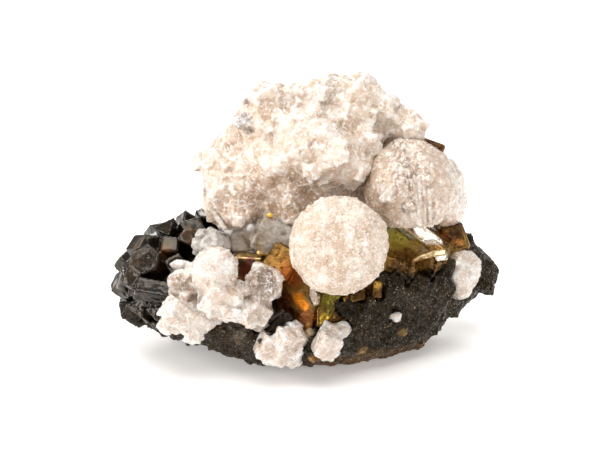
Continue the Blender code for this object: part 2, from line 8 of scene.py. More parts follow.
import logging
import math
from dataclasses import dataclass
from enum import Enum
from typing import Sequence

import bmesh
import bpy
import numpy as np
from mathutils import Euler, Matrix, Vector
from mathutils.bvhtree import BVHTree


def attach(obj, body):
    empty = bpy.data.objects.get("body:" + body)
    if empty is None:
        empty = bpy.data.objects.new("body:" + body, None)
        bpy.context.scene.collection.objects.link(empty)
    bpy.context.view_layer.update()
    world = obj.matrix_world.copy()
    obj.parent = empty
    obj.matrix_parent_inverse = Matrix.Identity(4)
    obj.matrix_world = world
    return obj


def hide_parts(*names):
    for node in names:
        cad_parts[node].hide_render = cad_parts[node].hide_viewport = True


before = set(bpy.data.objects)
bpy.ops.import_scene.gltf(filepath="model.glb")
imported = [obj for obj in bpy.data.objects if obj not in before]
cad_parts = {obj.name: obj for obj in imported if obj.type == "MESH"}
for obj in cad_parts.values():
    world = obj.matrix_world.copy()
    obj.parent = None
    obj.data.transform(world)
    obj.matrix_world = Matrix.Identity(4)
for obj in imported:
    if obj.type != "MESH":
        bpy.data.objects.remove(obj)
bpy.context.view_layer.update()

MM = 0.001
ROOT = "root"
LOG = logging.getLogger("specimen")

Triple = tuple[float, float, float]
Span = tuple[float, float]
Outline = tuple[tuple[float, float], ...]
Socket = bpy.types.NodeSocket

WHITE: Triple = (1.0, 1.0, 1.0)
FROST: Triple = (1.0, 0.99, 0.975)
EVEN: Triple = (1.0, 1.0, 1.0)


class Mineral(Enum):
    """The material slots, one for each mineral."""

    CALCITE = "calcite"
    CLEAR = "clear_calcite"
    PYRITE = "pyrite"
    SPHALERITE = "sphalerite"
    ROCK = "rock"


def srgb(red: int, green: int, blue: int) -> Triple:
    """The linear colour of a screen colour given as red, green and blue from 0 to 255."""
    shares = (value / 255.0 for value in (red, green, blue))
    return tuple(s / 12.92 if s <= 0.04045 else ((s + 0.055) / 1.055) ** 2.4 for s in shares)


def smoothstep(values: np.ndarray) -> np.ndarray:
    """Values clipped to 0 to 1 and eased at both ends."""
    share = np.clip(values, 0.0, 1.0)
    return share * share * (3.0 - 2.0 * share)


class Lattice:
    """Random values that are fixed to the cells of a lattice, so that they never change."""

    OFFSETS = [(x, y, z) for x in (-1, 0, 1) for y in (-1, 0, 1) for z in (-1, 0, 1)]
    STRIDES = (73856093, 19349663, 83492791)
    SEED_STRIDE = 2654435761
    MIXERS = ((0x9E3779B97F4A7C15, 29), (0xBF58476D1CE4E5B9, 32))
    STEPS = 65536
    FAR = 9.0
    SCATTER = 0.9
    UNEVEN = 0.35
    PEAK = 0.6
    LAYERS = 3

    @staticmethod
    def chance(cells: np.ndarray, seed: int) -> np.ndarray:
        """One value from 0 to 1 for each whole-number cell.

        Args:
            cells: cell numbers, one row a cell.
            seed: picks another set of values.

        Returns:
            An array with a value for each row.
        """
        mixed = np.full(len(cells), seed * Lattice.SEED_STRIDE % 2**40, np.uint64)
        for axis, stride in enumerate(Lattice.STRIDES):
            mixed ^= cells[:, axis].astype(np.uint64) * np.uint64(stride)
        for factor, shift in Lattice.MIXERS:
            mixed *= np.uint64(factor)
            mixed ^= mixed >> np.uint64(shift)
        return (mixed % np.uint64(Lattice.STEPS)).astype(float) / (Lattice.STEPS - 1.0)

    @classmethod
    def ripple(cls, points: np.ndarray, size: float, seed: int) -> np.ndarray:
        """Smooth noise from -1 to 1.

        Args:
            points: places in millimetres.
            size: width of one wave in millimetres.
            seed: picks another noise.

        Returns:
            The noise at each point.
        """
        scaled = points / size
        cells = np.floor(scaled)
        ease = smoothstep(scaled - cells)
        cells = cells.astype(np.int64)
        total = np.zeros(len(points))
        for corner in ((i, j, k) for i in (0, 1) for j in (0, 1) for k in (0, 1)):
            weight = np.prod(np.where(corner, ease, 1.0 - ease), axis=1)
            total += weight * cls.chance(cells + np.array(corner), seed)
        return total * 2.0 - 1.0

    @classmethod
    def layers(cls, points: np.ndarray, size: float, seed: int) -> np.ndarray:
        """Smooth noise, about -1 to 1, with finer and weaker noise laid over it."""
        total = sum(cls.ripple(points, size / 2**i, seed + i) / 2**i for i in range(cls.LAYERS))
        return total / (2.0 - 2.0 ** (1 - cls.LAYERS))

    @classmethod
    def crystals(cls, points: np.ndarray, size: float, seed: int,
                 frames: np.ndarray) -> tuple[np.ndarray, np.ndarray]:
        """Heights of a crust of flat-faced crystals, one in each cell of a lattice.

        Args:
            points: places in millimetres.
            size: spacing of the crystals.
            seed: picks another crust.
            frames: face directions of each sort of crystal, as 3 by 3 arrays.

        Returns:
            The height at each point, in crystal sizes, and a value from 0 to 1 that is
            the crystal's own.
        """
        scaled = points / size
        cells = np.floor(scaled).astype(np.int64)
        best = np.full(len(points), cls.FAR)
        own = np.zeros(len(points))
        for offset in cls.OFFSETS:
            near = cells + np.array(offset)
            spot = np.stack([cls.chance(near, seed + i) for i in (1, 2, 3)], axis=1)
            away = scaled - near - spot * cls.SCATTER
            chance = cls.chance(near, seed + 4)
            frame_of = frames[(chance * (len(frames) - 1)).astype(int)]
            reach = np.abs(np.einsum("nij,nj->ni", frame_of, away)).max(axis=1)
            reach += chance * cls.UNEVEN
            closer = reach < best
            best[closer] = reach[closer]
            own[closer] = chance[closer]
        return cls.PEAK - best, own


def crystal_frames(count: int, seed: int, skew: float = 0.2) -> np.ndarray:
    """Face directions of rhombohedra turned at random.

    Args:
        count: number of them.
        seed: seed of the turns.
        skew: how far the three directions lean towards each other.

    Returns:
        An array of count 3 by 3 arrays, a face direction in each row.
    """
    rng = np.random.default_rng(seed)
    frames = []
    for _ in range(count):
        turn, _ = np.linalg.qr(rng.normal(size=(3, 3)))
        rows = turn + skew * turn.sum(axis=0)
        frames.append(rows / np.linalg.norm(rows, axis=1, keepdims=True))
    return np.array(frames)


FRAMES = crystal_frames(count=14, seed=5)


@dataclass(frozen=True)
class Eye:
    """The photograph's camera. Its pixels are those of the photograph."""

    width: int = 612
    height: int = 460
    lens: float = 100.0
    sensor: float = 36.0
    reach: float = 351.0
    elevation: float = math.radians(20.0)
    target: Triple = (-0.23, 0.70, 26.5)
    nearby: float = 2.0
    slack: float = 0.5
    clip: float = 10.0

    def pixels(self, points: np.ndarray) -> tuple[np.ndarray, np.ndarray, np.ndarray]:
        """Where points show in the photograph.

        Args:
            points: places in millimetres.

        Returns:
            Column, row and depth beyond the target, each an array.
        """
        away = points - np.array(self.target)
        sine, cosine = math.sin(self.elevation), math.cos(self.elevation)
        up = away[:, 1] * sine + away[:, 2] * cosine
        depth = away[:, 1] * cosine - away[:, 2] * sine
        scale = self.lens / self.sensor * self.width / (self.reach + depth)
        return self.width / 2 + away[:, 0] * scale, self.height / 2 - up * scale, depth

    def touch(self, points: np.ndarray, column: float, row: float) -> np.ndarray:
        """The foremost of the points that show near a pixel.

        Args:
            points: places in millimetres.
            column, row: the pixel.

        Returns:
            The point.
        """
        columns, rows, depth = self.pixels(points)
        off = np.hypot(columns - column, rows - row)
        near = off < max(self.nearby, off.min() + self.slack)
        return points[near][depth[near].argmin()]

    def spot(self) -> Vector:
        """The camera's place in millimetres."""
        back = Vector((0.0, -math.cos(self.elevation), math.sin(self.elevation)))
        return Vector(self.target) + back * self.reach

    def ray(self, column: float, row: float) -> Vector:
        """The line of sight of a pixel.

        Args:
            column, row: the pixel.

        Returns:
            Its direction, as long as 1 along the camera's axis.
        """
        sine, cosine = math.sin(self.elevation), math.cos(self.elevation)
        scale = self.lens / self.sensor * self.width
        across, up = (column - self.width / 2) / scale, (self.height / 2 - row) / scale
        return Vector((across, cosine + up * sine, up * cosine - sine))

    def build(self) -> None:
        """Makes the scene's camera."""
        data = bpy.data.cameras.new("camera")
        data.lens = self.lens
        data.sensor_width = self.sensor
        data.clip_start = self.clip * MM
        camera = bpy.data.objects.new("camera", data)
        camera.location = self.spot() * MM
        camera.rotation_euler = (math.pi / 2 - self.elevation, 0.0, 0.0)
        bpy.context.scene.collection.objects.link(camera)
        bpy.context.scene.camera = camera


EYE = Eye()


class Carrier:
    """What something sits on, to be met along the line of sight of a pixel."""

    def __init__(self, names: Sequence[str]) -> None:
        """Gathers the faces of solids and finished pieces.

        Args:
            names: names of nodes, or of pieces that are made by now.
        """
        corners, faces = [], []
        for name in names:
            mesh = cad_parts.get(name, bpy.data.objects.get(name)).data
            start = len(corners)
            corners += [vertex.co / MM for vertex in mesh.vertices]
            faces += [[start + i for i in face.vertices] for face in mesh.polygons]
        self.tree = BVHTree.FromPolygons(corners, faces)

    def met(self, what: str, column: float, row: float) -> tuple[Vector, Vector]:
        """The place and outward direction where a pixel's line of sight meets the solids.

        Args:
            what: what is put there, for the error if nothing is met.
            column, row: the pixel.

        Returns:
            The place in millimetres and the direction.
        """
        place, normal, _, _ = self.tree.ray_cast(EYE.spot(), EYE.ray(column, row))
        if place is None:
            raise ValueError(f"{what}: nothing is met at pixel {column}, {row}")
        return place, normal


@dataclass(frozen=True)
class Mark:
    """Something small, told by what it is and by the photograph's pixel that shows it."""

    what: str
    column: float
    row: float


@dataclass(frozen=True)
class Lump(Mark):
    """A small rounded crystal that sits where its pixel shows what carries it."""

    size: Triple
    turn: Triple = (0.0, 0.0, 0.0)
    rise: float = 0.15

    def _add_body(self, bm: bmesh.types.BMesh) -> None:
        """Adds its body, one millimetre wide and not yet turned."""
        bmesh.ops.create_icosphere(bm, subdivisions=2, radius=0.5)

    def shape(self, carrier: Carrier) -> bmesh.types.BMesh:
        """Makes its body in millimetres.

        Args:
            carrier: what it sits on.

        Returns:
            The body.
        """
        place, normal = carrier.met(self.what, self.column, self.row)
        bm = bmesh.new()
        self._add_body(bm)
        turn = Euler([math.radians(angle) for angle in self.turn]).to_matrix().to_4x4()
        middle = Matrix.Translation(place + normal * self.rise * min(self.size))
        bm.transform(middle @ turn @ Matrix.Diagonal((*self.size, 1.0)))
        return bm


@dataclass(frozen=True)
class Cuboid(Lump):
    """A small block-shaped crystal that is placed in the same way."""

    def _add_body(self, bm: bmesh.types.BMesh) -> None:
        """Adds its body, one millimetre wide and not yet turned."""
        bmesh.ops.create_cube(bm, size=1.0)


@dataclass(frozen=True)
class Facet:
    """A flat growth step with the outline of pixels that the photograph shows, standing a
    little proud of what carries it."""

    what: str
    corners: Outline
    colour: Triple
    lift: float = 0.3
    depth: float = 1.4
    normal: Triple | None = None

    MARGIN = 1.2
    THICKNESS = 1.1
    EDGE = 2.0

    def plane(self, carrier: Carrier) -> tuple[Vector, Vector]:
        """The plane of its face.

        Args:
            carrier: what it sits on.

        Returns:
            A place on its face and the direction that it looks to.
        """
        column, row = np.mean(self.corners, axis=0)
        place, normal = carrier.met(self.what, column, row)
        if self.normal:
            normal = Vector(self.normal).normalized()
        return place + normal * self.lift, normal

    def shape(self, carrier: Carrier) -> bmesh.types.BMesh:
        """Makes its body in millimetres.

        Args:
            carrier: what it sits on.

        Returns:
            The body.
        """
        place, normal = self.plane(carrier)
        bm = bmesh.new()
        front, back = [], []
        for column, row in self.corners:
            ray = EYE.ray(column, row)
            share = (place - EYE.spot()).dot(normal) / ray.dot(normal)
            corner = EYE.spot() + ray * share
            front.append(bm.verts.new(corner))
            back.append(bm.verts.new(corner - normal * self.depth))
        bm.faces.new(front)
        bm.faces.new(back[::-1])
        for i in range(len(front)):
            bm.faces.new((front[i - 1], back[i - 1], back[i], front[i]))
        bmesh.ops.recalc_face_normals(bm, faces=bm.faces)
        return bm

    def weights(self, points: np.ndarray, normals: np.ndarray, carrier: Carrier) -> np.ndarray:
        """Shares from 0 to 1 of its colour.

        Args:
            points: places in millimetres.
            normals: outward directions there.
            carrier: what it sits on.

        Returns:
            A share for each point, 1 on its face.
        """
        place, normal = self.plane(carrier)
        columns, rows, _ = EYE.pixels(points)
        inside = np.full(len(points), np.inf)
        ring = np.array(self.corners)
        turn = np.sign(np.cross(ring[1] - ring[0], ring[2] - ring[1]))
        for start, end in zip(ring, np.roll(ring, -1, axis=0)):
            side = (end - start) / np.linalg.norm(end - start)
            off = turn * (side[0] * (rows - start[1]) - side[1] * (columns - start[0]))
            inside = np.minimum(inside, off)
        near = np.abs((points - np.array(place)) @ np.array(normal))
        along = normals @ np.array(normal)
        flush = smoothstep((self.THICKNESS - near) * self.EDGE)
        return smoothstep(inside + self.MARGIN) * flush * smoothstep(along * self.EDGE)


@dataclass(frozen=True)
class Tint(Mark):
    """A patch of another colour around the place that shows at its pixel."""

    reach: float
    colour: Triple
    strength: float = 1.0
    seed: int = 17

    RAGGED = 0.35
    RAGGED_SIZE = 0.9
    EDGE = 1.8

    def weights(self, points: np.ndarray) -> np.ndarray:
        """How much of the patch's colour each point takes.

        Args:
            points: places in millimetres.

        Returns:
            Shares from 0 to the patch's strength.
        """
        away = np.linalg.norm(points - EYE.touch(points, self.column, self.row), axis=1)
        ragged = 1.0 + self.RAGGED * Lattice.layers(points, self.reach * self.RAGGED_SIZE, self.seed)
        return self.strength * smoothstep((1.0 - away / self.reach * ragged) * self.EDGE)


@dataclass(frozen=True)
class Crust:
    """A crust of flat-faced crystals: their spacing in millimetres and their faces' slope."""

    spacing: float
    slope: float
    seed: int
    stretch: Triple = EVEN


@dataclass(frozen=True)
class Blocks:
    """Block-shaped crystals set into a surface: their number, their widths in millimetres
    and how deep they are set, in widths."""

    count: int
    smallest: float
    largest: float
    seed: int
    sink: float = 0.38


@dataclass(frozen=True)
class Wave:
    """An uneven wave of a surface, with its size and height in millimetres."""

    size: float
    height: float
    seed: int

    def at(self, points: np.ndarray) -> np.ndarray:
        """Its height at each point."""
        return Lattice.layers(points, self.size, self.seed) * self.height


class Skin:
    """The surface of a piece while it is worked, with its points in millimetres."""

    COARSE = 1.0
    KEEP = 0.4
    FEWEST = 4
    FEWER = 3
    NARROWEST = 0.75

    def __init__(self, nodes: Sequence[str], voxel: float,
                 extras: Sequence[bmesh.types.BMesh] = ()) -> None:
        """Fuses solids and remeshes their surface.

        Args:
            nodes: names of the solids that it starts from.
            voxel: width of its faces.
            extras: bmeshes in millimetres that are fused with them, and freed.
        """
        self.nodes = list(nodes)
        self.voxel = voxel
        source = bmesh.new()
        for name in nodes:
            part = bmesh.new()
            part.from_mesh(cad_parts[name].data)
            bmesh.ops.scale(part, vec=(1.0 / MM,) * 3, verts=part.verts)
            self._append(source, part)
        for extra in extras:
            self._append(source, extra)
        mesh = bpy.data.meshes.new("source")
        source.to_mesh(mesh)
        source.free()
        self._load(mesh)

    def _load(self, mesh: bpy.types.Mesh) -> None:
        """Takes up the voxel remesh of a mesh.

        Args:
            mesh: the mesh, which is removed.
        """
        self.mesh = self._remeshed(mesh)
        count = len(self.mesh.vertices)
        self.points = self._read(self.mesh.vertices, "co", count * 3).reshape(-1, 3)
        edges = self._read(self.mesh.edges, "vertices", len(self.mesh.edges) * 2, np.int64)
        self.edges = edges.reshape(-1, 2)
        self.degree = np.bincount(self.edges.ravel(), minlength=count).astype(float)
        self.paint = np.ones((count, 3))
        self.own = np.zeros(count)

    @staticmethod
    def _append(target: bmesh.types.BMesh, part: bmesh.types.BMesh) -> None:
        """Adds one bmesh to another.

        Args:
            target: what it is added to.
            part: what is added, and freed.
        """
        carrier = bpy.data.meshes.new("carrier")
        part.to_mesh(carrier)
        part.free()
        target.from_mesh(carrier)
        bpy.data.meshes.remove(carrier)

    @staticmethod
    def _read(items: bpy.types.bpy_prop_collection, name: str, size: int,
              kind: type = float) -> np.ndarray:
        """Reads one property of many mesh items.

        Args:
            items: the vertices or edges.
            name: the property.
            size: number of values in all.
            kind: type of a value.

        Returns:
            The values in one row.
        """
        values = np.zeros(size, np.float32 if kind is float else np.int32)
        items.foreach_get(name, values)
        return values.astype(kind)

    def _remeshed(self, mesh: bpy.types.Mesh) -> bpy.types.Mesh:
        """The voxel remesh of a mesh.

        Args:
            mesh: the mesh, which is removed.

        Returns:
            The new mesh.
        """
        carrier = bpy.data.objects.new("carrier", mesh)
        bpy.context.scene.collection.objects.link(carrier)
        remesh = carrier.modifiers.new("remesh", "REMESH")
        remesh.mode = "VOXEL"
        remesh.voxel_size = self.voxel
        graph = bpy.context.evaluated_depsgraph_get()
        made = bpy.data.meshes.new_from_object(carrier.evaluated_get(graph))
        bpy.data.objects.remove(carrier)
        bpy.data.meshes.remove(mesh)
        return made

    def normals(self) -> np.ndarray:
        """The outward directions of the surface.

        Returns:
            A direction for each point.
        """
        self.mesh.vertices.foreach_set("co", self.points.astype(np.float32).ravel())
        self.mesh.update()
        return self._read(self.mesh.vertices, "normal", len(self.points) * 3).reshape(-1, 3)

    def around(self, values: np.ndarray, times: int) -> np.ndarray:
        """Values averaged with those of their neighbours.

        Args:
            values: a row for each point.
            times: how often they are averaged.

        Returns:
            The averages.
        """
        first, second = self.edges[:, 0], self.edges[:, 1]
        for _ in range(times):
            total = np.stack([
                np.bincount(first, values[second, i], len(values))
                + np.bincount(second, values[first, i], len(values))
                for i in range(values.shape[1])
            ], axis=1)
            values = self.KEEP * values + (1.0 - self.KEEP) * total / self.degree[:, None]
        return values

    def soften(self, times: int) -> None:
        """Smooths the surface, and swells it again by what it lost on average.

        Args:
            times: how often each point is averaged with its neighbours.
        """
        before = self.points
        smooth = self.around(before, times)
        lost = self.around(smooth, max(self.FEWEST, times // self.FEWER)) - smooth
        self.points = before + (smooth - lost - before)

    def close(self, gap: float) -> None:
        """Fills the narrow crevices.

        Args:
            gap: half the width in millimetres under which a crevice is filled.
        """
        self.push(gap)
        self.mesh.vertices.foreach_set("co", self.points.astype(np.float32).ravel())
        self._load(self.mesh)
        self.push(-gap)

    def stud(self, blocks: Blocks) -> None:
        """Sets block-shaped crystals into the surface, each at a turn of its own.

        Args:
            blocks: the crystals.
        """
        rng = np.random.default_rng(blocks.seed)
        normals = self.normals()
        cubes = bmesh.new()
        for i in rng.integers(0, len(self.points), blocks.count):
            width = blocks.smallest + (blocks.largest - blocks.smallest) * rng.random() ** 2
            place = Matrix.Translation(self.points[i] - normals[i] * width * blocks.sink)
            turn = Euler(rng.uniform(0.0, math.tau, 3)).to_matrix().to_4x4()
            shape = Matrix.Diagonal((*(width * rng.uniform(self.NARROWEST, 1.0, 3)), 1.0))
            bmesh.ops.create_cube(cubes, size=1.0, matrix=place @ turn @ shape)
        source = bmesh.new()
        source.from_mesh(self.mesh)
        bpy.data.meshes.remove(self.mesh)
        self._append(source, cubes)
        mesh = bpy.data.meshes.new("studded")
        source.to_mesh(mesh)
        source.free()
        self._load(mesh)

    def push(self, heights: np.ndarray | float) -> None:
        """Moves each point outward.

        Args:
            heights: how far, in millimetres.
        """
        normals = self.normals()
        heights = np.broadcast_to(heights, len(self.points))
        self.points = self.points + normals * heights[:, None]

    def grow(self, crust: Crust, share: np.ndarray | float = 1.0) -> None:
        """Covers the surface with flat-faced crystals.

        Args:
            crust: the crystals.
            share: how much of the crust each point takes.
        """
        stretched = self.points / np.array(crust.stretch)
        heights, own = Lattice.crystals(stretched, crust.spacing, crust.seed, FRAMES)
        heights = heights - heights.mean()
        self.push(heights * crust.spacing * crust.slope * share)
        if crust.spacing > self.COARSE:
            self.own = own

    def ripple(self, wave: Wave, share: np.ndarray | float = 1.0) -> None:
        """Gives the surface an uneven wave, of which each point takes a share."""
        self.push(wave.at(self.points) * share)

    def hollows(self, times: int) -> np.ndarray:
        """How deep each point lies below the ground around it, in millimetres."""
        normals = self.normals()
        return ((self.around(self.points, times) - self.points) * normals).sum(axis=1)

    def tinted(self, tints: Sequence[Tint]) -> None:
        """Lays patches of colour over the paint.

        Args:
            tints: the patches, the lowest first.
        """
        for tint in tints:
            LOG.debug("%s: %s", self.mesh.name, tint.what)
            weight = tint.weights(self.points)[:, None]
            self.paint = self.paint * (1.0 - weight) + np.array(tint.colour) * weight

    def shaded(self, share: np.ndarray, colour: Triple) -> None:
        """Turns the paint towards a colour by a share from 0 to 1 at each point."""
        weight = np.clip(share, 0.0, 1.0)[:, None]
        self.paint = self.paint * (1.0 - weight) + np.array(colour) * weight

    def covered(self, colour: Triple) -> None:
        """Paints the whole surface in one colour."""
        self.shaded(np.ones(len(self.points)), colour)

    def piece(self, name: str, finish: "Finish", hollow_times: int) -> None:
        """Makes the finished object, riding on the root body in place of its nodes.

        Args:
            name: its name.
            finish: its finish.
            hollow_times: how far around a point its hollows are measured.
        """
        hollow = self.hollows(hollow_times)
        self.mesh.vertices.foreach_set("co", (self.points * MM).astype(np.float32).ravel())
        self.mesh.polygons.foreach_set("use_smooth", np.ones(len(self.mesh.polygons), bool))
        self.mesh.name = name
        # The hollow depth is what the finishes turn into painted shade in hollows and, on calcite,
        # painted highlights on crests.
        for attribute, values in (("hollow", hollow), ("own", self.own)):
            layer = self.mesh.attributes.new(attribute, "FLOAT", "POINT")
            layer.data.foreach_set("value", values.astype(np.float32))
        layer = self.mesh.attributes.new("paint", "FLOAT_COLOR", "POINT")
        colours = np.concatenate([self.paint, np.ones((len(self.paint), 1))], axis=1)
        layer.data.foreach_set("color", colours.astype(np.float32).ravel())
        self.mesh.materials.clear()
        self.mesh.materials.append(finish.material())
        self.mesh.update()
        placed(bpy.data.objects.new(name, self.mesh), self.nodes)


def placed(piece: bpy.types.Object, nodes: Sequence[str]) -> None:
    """Puts a piece in the scene, in place of nodes, and reports it.

    Args:
        piece: the object.
        nodes: the nodes that it stands for.
    """
    bpy.context.scene.collection.objects.link(piece)
    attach(piece, ROOT)
    if nodes:
        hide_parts(*nodes)
    LOG.info("%s: %d faces", piece.name, len(piece.data.polygons))


class Mix(Enum):
    """How two colours are mixed."""

    PLAIN = "MIX"
    MULTIPLY = "MULTIPLY"


class Graph:
    """The nodes of a material under construction, with one Principled shader."""

    MIX_SHARE, MIX_FIRST, MIX_SECOND, MIX_RESULT = 0, 6, 7, 2
    BEND = 0.002

    def __init__(self, name: str) -> None:
        """Starts a material.

        Args:
            name: its name.
        """
        self.material = bpy.data.materials.new(name)
        self.material.use_nodes = True
        self.tree = self.material.node_tree
        self.tree.nodes.clear()
        self.shader = self.add("ShaderNodeBsdfPrincipled")
        output = self.add("ShaderNodeOutputMaterial")
        self.tree.links.new(self.shader.outputs[0], output.inputs["Surface"])
        self.place = self.add("ShaderNodeTexCoord").outputs["Object"]

    def add(self, kind: str, values: dict | None = None, **settings: object) -> bpy.types.Node:
        """Adds a node.

        Args:
            kind: its type.
            values: input socket to a number, a colour or another node's output.
            settings: its properties.

        Returns:
            The node.
        """
        node = self.tree.nodes.new(kind)
        for key, value in settings.items():
            setattr(node, key, value)
        for key, value in (values or {}).items():
            self._put(node, key, value)
        return node

    def _put(self, node: bpy.types.Node, key: int | str, value: object) -> None:
        """Gives a node's input a plain value, or links another node's output to it.

        Args:
            node: the node.
            key: number or name of its input.
            value: the value or the output.
        """
        if isinstance(value, Socket):
            self.tree.links.new(value, node.inputs[key])
        else:
            node.inputs[key].default_value = value

    def constants(self, **values: object) -> None:
        """Sets plain values on the shader; a name's underscores stand for spaces."""
        for key, value in values.items():
            self.shader.inputs[key.replace("_", " ")].default_value = value

    def scaled(self, place: Socket, size: float, stretch: Triple = EVEN) -> Socket:
        """A place counted in steps of a size in millimetres, stretched along the axes."""
        scale = tuple(1.0 / (size * MM * s) for s in stretch)
        return self.add("ShaderNodeMapping", {"Vector": place, "Scale": scale}).outputs[0]

    def noise(self, size: float, detail: float = 3.0, stretch: Triple = EVEN) -> Socket:
        """Noise with waves of a size in millimetres, finer layers and a stretch along the axes."""
        values = {"Vector": self.scaled(self.place, size, stretch), "Scale": 1.0, "Detail": detail}
        return self.add("ShaderNodeTexNoise", values).outputs[0]

    def packing(self, size: float) -> tuple[Socket, Socket]:
        """Tightly packed crystals with crooked joints.

        Args:
            size: width of the crystals in millimetres.

        Returns:
            How far a place is from their joints, and a value that is each crystal's own.
        """
        wave = self.add("ShaderNodeTexNoise", {"Vector": self.place, "Scale": 1.0 / (size * 2.0 * MM)})
        bent = self.add(
            "ShaderNodeVectorMath", {0: wave.outputs["Color"], 1: (self.BEND,) * 3, 2: self.place},
            operation="MULTIPLY_ADD",
        )
        values = {"Vector": self.scaled(bent.outputs[0], size), "Scale": 1.0}
        joint = self.add("ShaderNodeTexVoronoi", values, feature="DISTANCE_TO_EDGE")
        cell = self.add("ShaderNodeTexVoronoi", values)
        own = self.add("ShaderNodeSeparateColor", {0: cell.outputs["Color"]})
        return joint.outputs["Distance"], own.outputs[0]

    def facets(self, size: float) -> tuple[Socket, Socket]:
        """Small flat faces that lean at random.

        Args:
            size: width of the faces in millimetres.

        Returns:
            The height of the faces, and a value that is each face's own.
        """
        at = self.scaled(self.place, size)
        cell = self.add("ShaderNodeTexVoronoi", {"Vector": at, "Scale": 1.0})
        away = self.add(
            "ShaderNodeVectorMath", {0: at, 1: cell.outputs["Position"]}, operation="SUBTRACT",
        )
        lean = self.add(
            "ShaderNodeVectorMath", {0: cell.outputs["Color"], 1: (0.5, 0.5, 0.5)}, operation="SUBTRACT",
        )
        height = self.add(
            "ShaderNodeVectorMath", {0: away.outputs[0], 1: lean.outputs[0]}, operation="DOT_PRODUCT",
        )
        own = self.add("ShaderNodeSeparateColor", {0: cell.outputs["Color"]})
        return height.outputs["Value"], own.outputs[0]

    def attribute(self, name: str, output: str = "Fac") -> Socket:
        """A value or colour that the mesh carries."""
        return self.add("ShaderNodeAttribute", attribute_name=name).outputs[output]

    def ramp(self, value: Socket, span: Span, start: float = 0.0, end: float = 1.0) -> Socket:
        """A value that goes from start to end as the given one goes over a span."""
        values = {0: value, 1: span[0], 2: span[1], 3: start, 4: end}
        return self.add("ShaderNodeMapRange", values, clamp=True).outputs[0]

    def blend(self, share: Socket | float, first: Socket | Triple, second: Socket | Triple,
              mode: Mix = Mix.PLAIN) -> Socket:
        """A mix of two colours.

        Args:
            share: how much of the second is taken.
            first: the first colour.
            second: the second colour.
            mode: how they are mixed.

        Returns:
            The mixed colour.
        """
        first, second = ((*c, 1.0) if isinstance(c, tuple) else c for c in (first, second))
        values = {self.MIX_SHARE: share, self.MIX_FIRST: first, self.MIX_SECOND: second}
        node = self.add("ShaderNodeMix", data_type="RGBA", blend_type=mode.value)
        for key, value in values.items():
            self._put(node, key, value)
        return node.outputs[self.MIX_RESULT]

    def times(self, first: Socket | Triple, second: Socket | Triple) -> Socket:
        """Two colours multiplied."""
        return self.blend(1.0, first, second, Mix.MULTIPLY)

    def bumps(self, *layers: tuple[Socket, float, float]) -> None:
        """Fine relief on the shader and on its coat.

        Args:
            layers: the height, the depth in millimetres and the strength of each layer.
        """
        normal = None
        for height, depth, strength in layers:
            values = {"Height": height, "Distance": depth * MM, "Strength": strength}
            if normal is not None:
                values["Normal"] = normal
            normal = self.add("ShaderNodeBump", values).outputs[0]
        for socket in ("Normal", "Coat Normal"):
            self.tree.links.new(normal, self.shader.inputs[socket])

    def colour(self, socket: Socket) -> None:
        """Links the base colour."""
        self.tree.links.new(socket, self.shader.inputs["Base Color"])

    def roughness(self, socket: Socket) -> None:
        """Links the roughness."""
        self.tree.links.new(socket, self.shader.inputs["Roughness"])


@dataclass(frozen=True)
class Finish:
    """A finish, made as a material when it is first asked for."""

    name: str
    slot: Mineral

    def material(self) -> bpy.types.Material:
        """The finish as a material.

        Returns:
            The material, which all pieces of this finish share.
        """
        known = bpy.data.materials.get(self.name)
        if known:
            return known
        graph = Graph(self.name)
        self.dress(graph)
        return graph.material

    def dress(self, graph: Graph) -> None:
        """Adds the finish's nodes to the graph of its material."""
        raise NotImplementedError


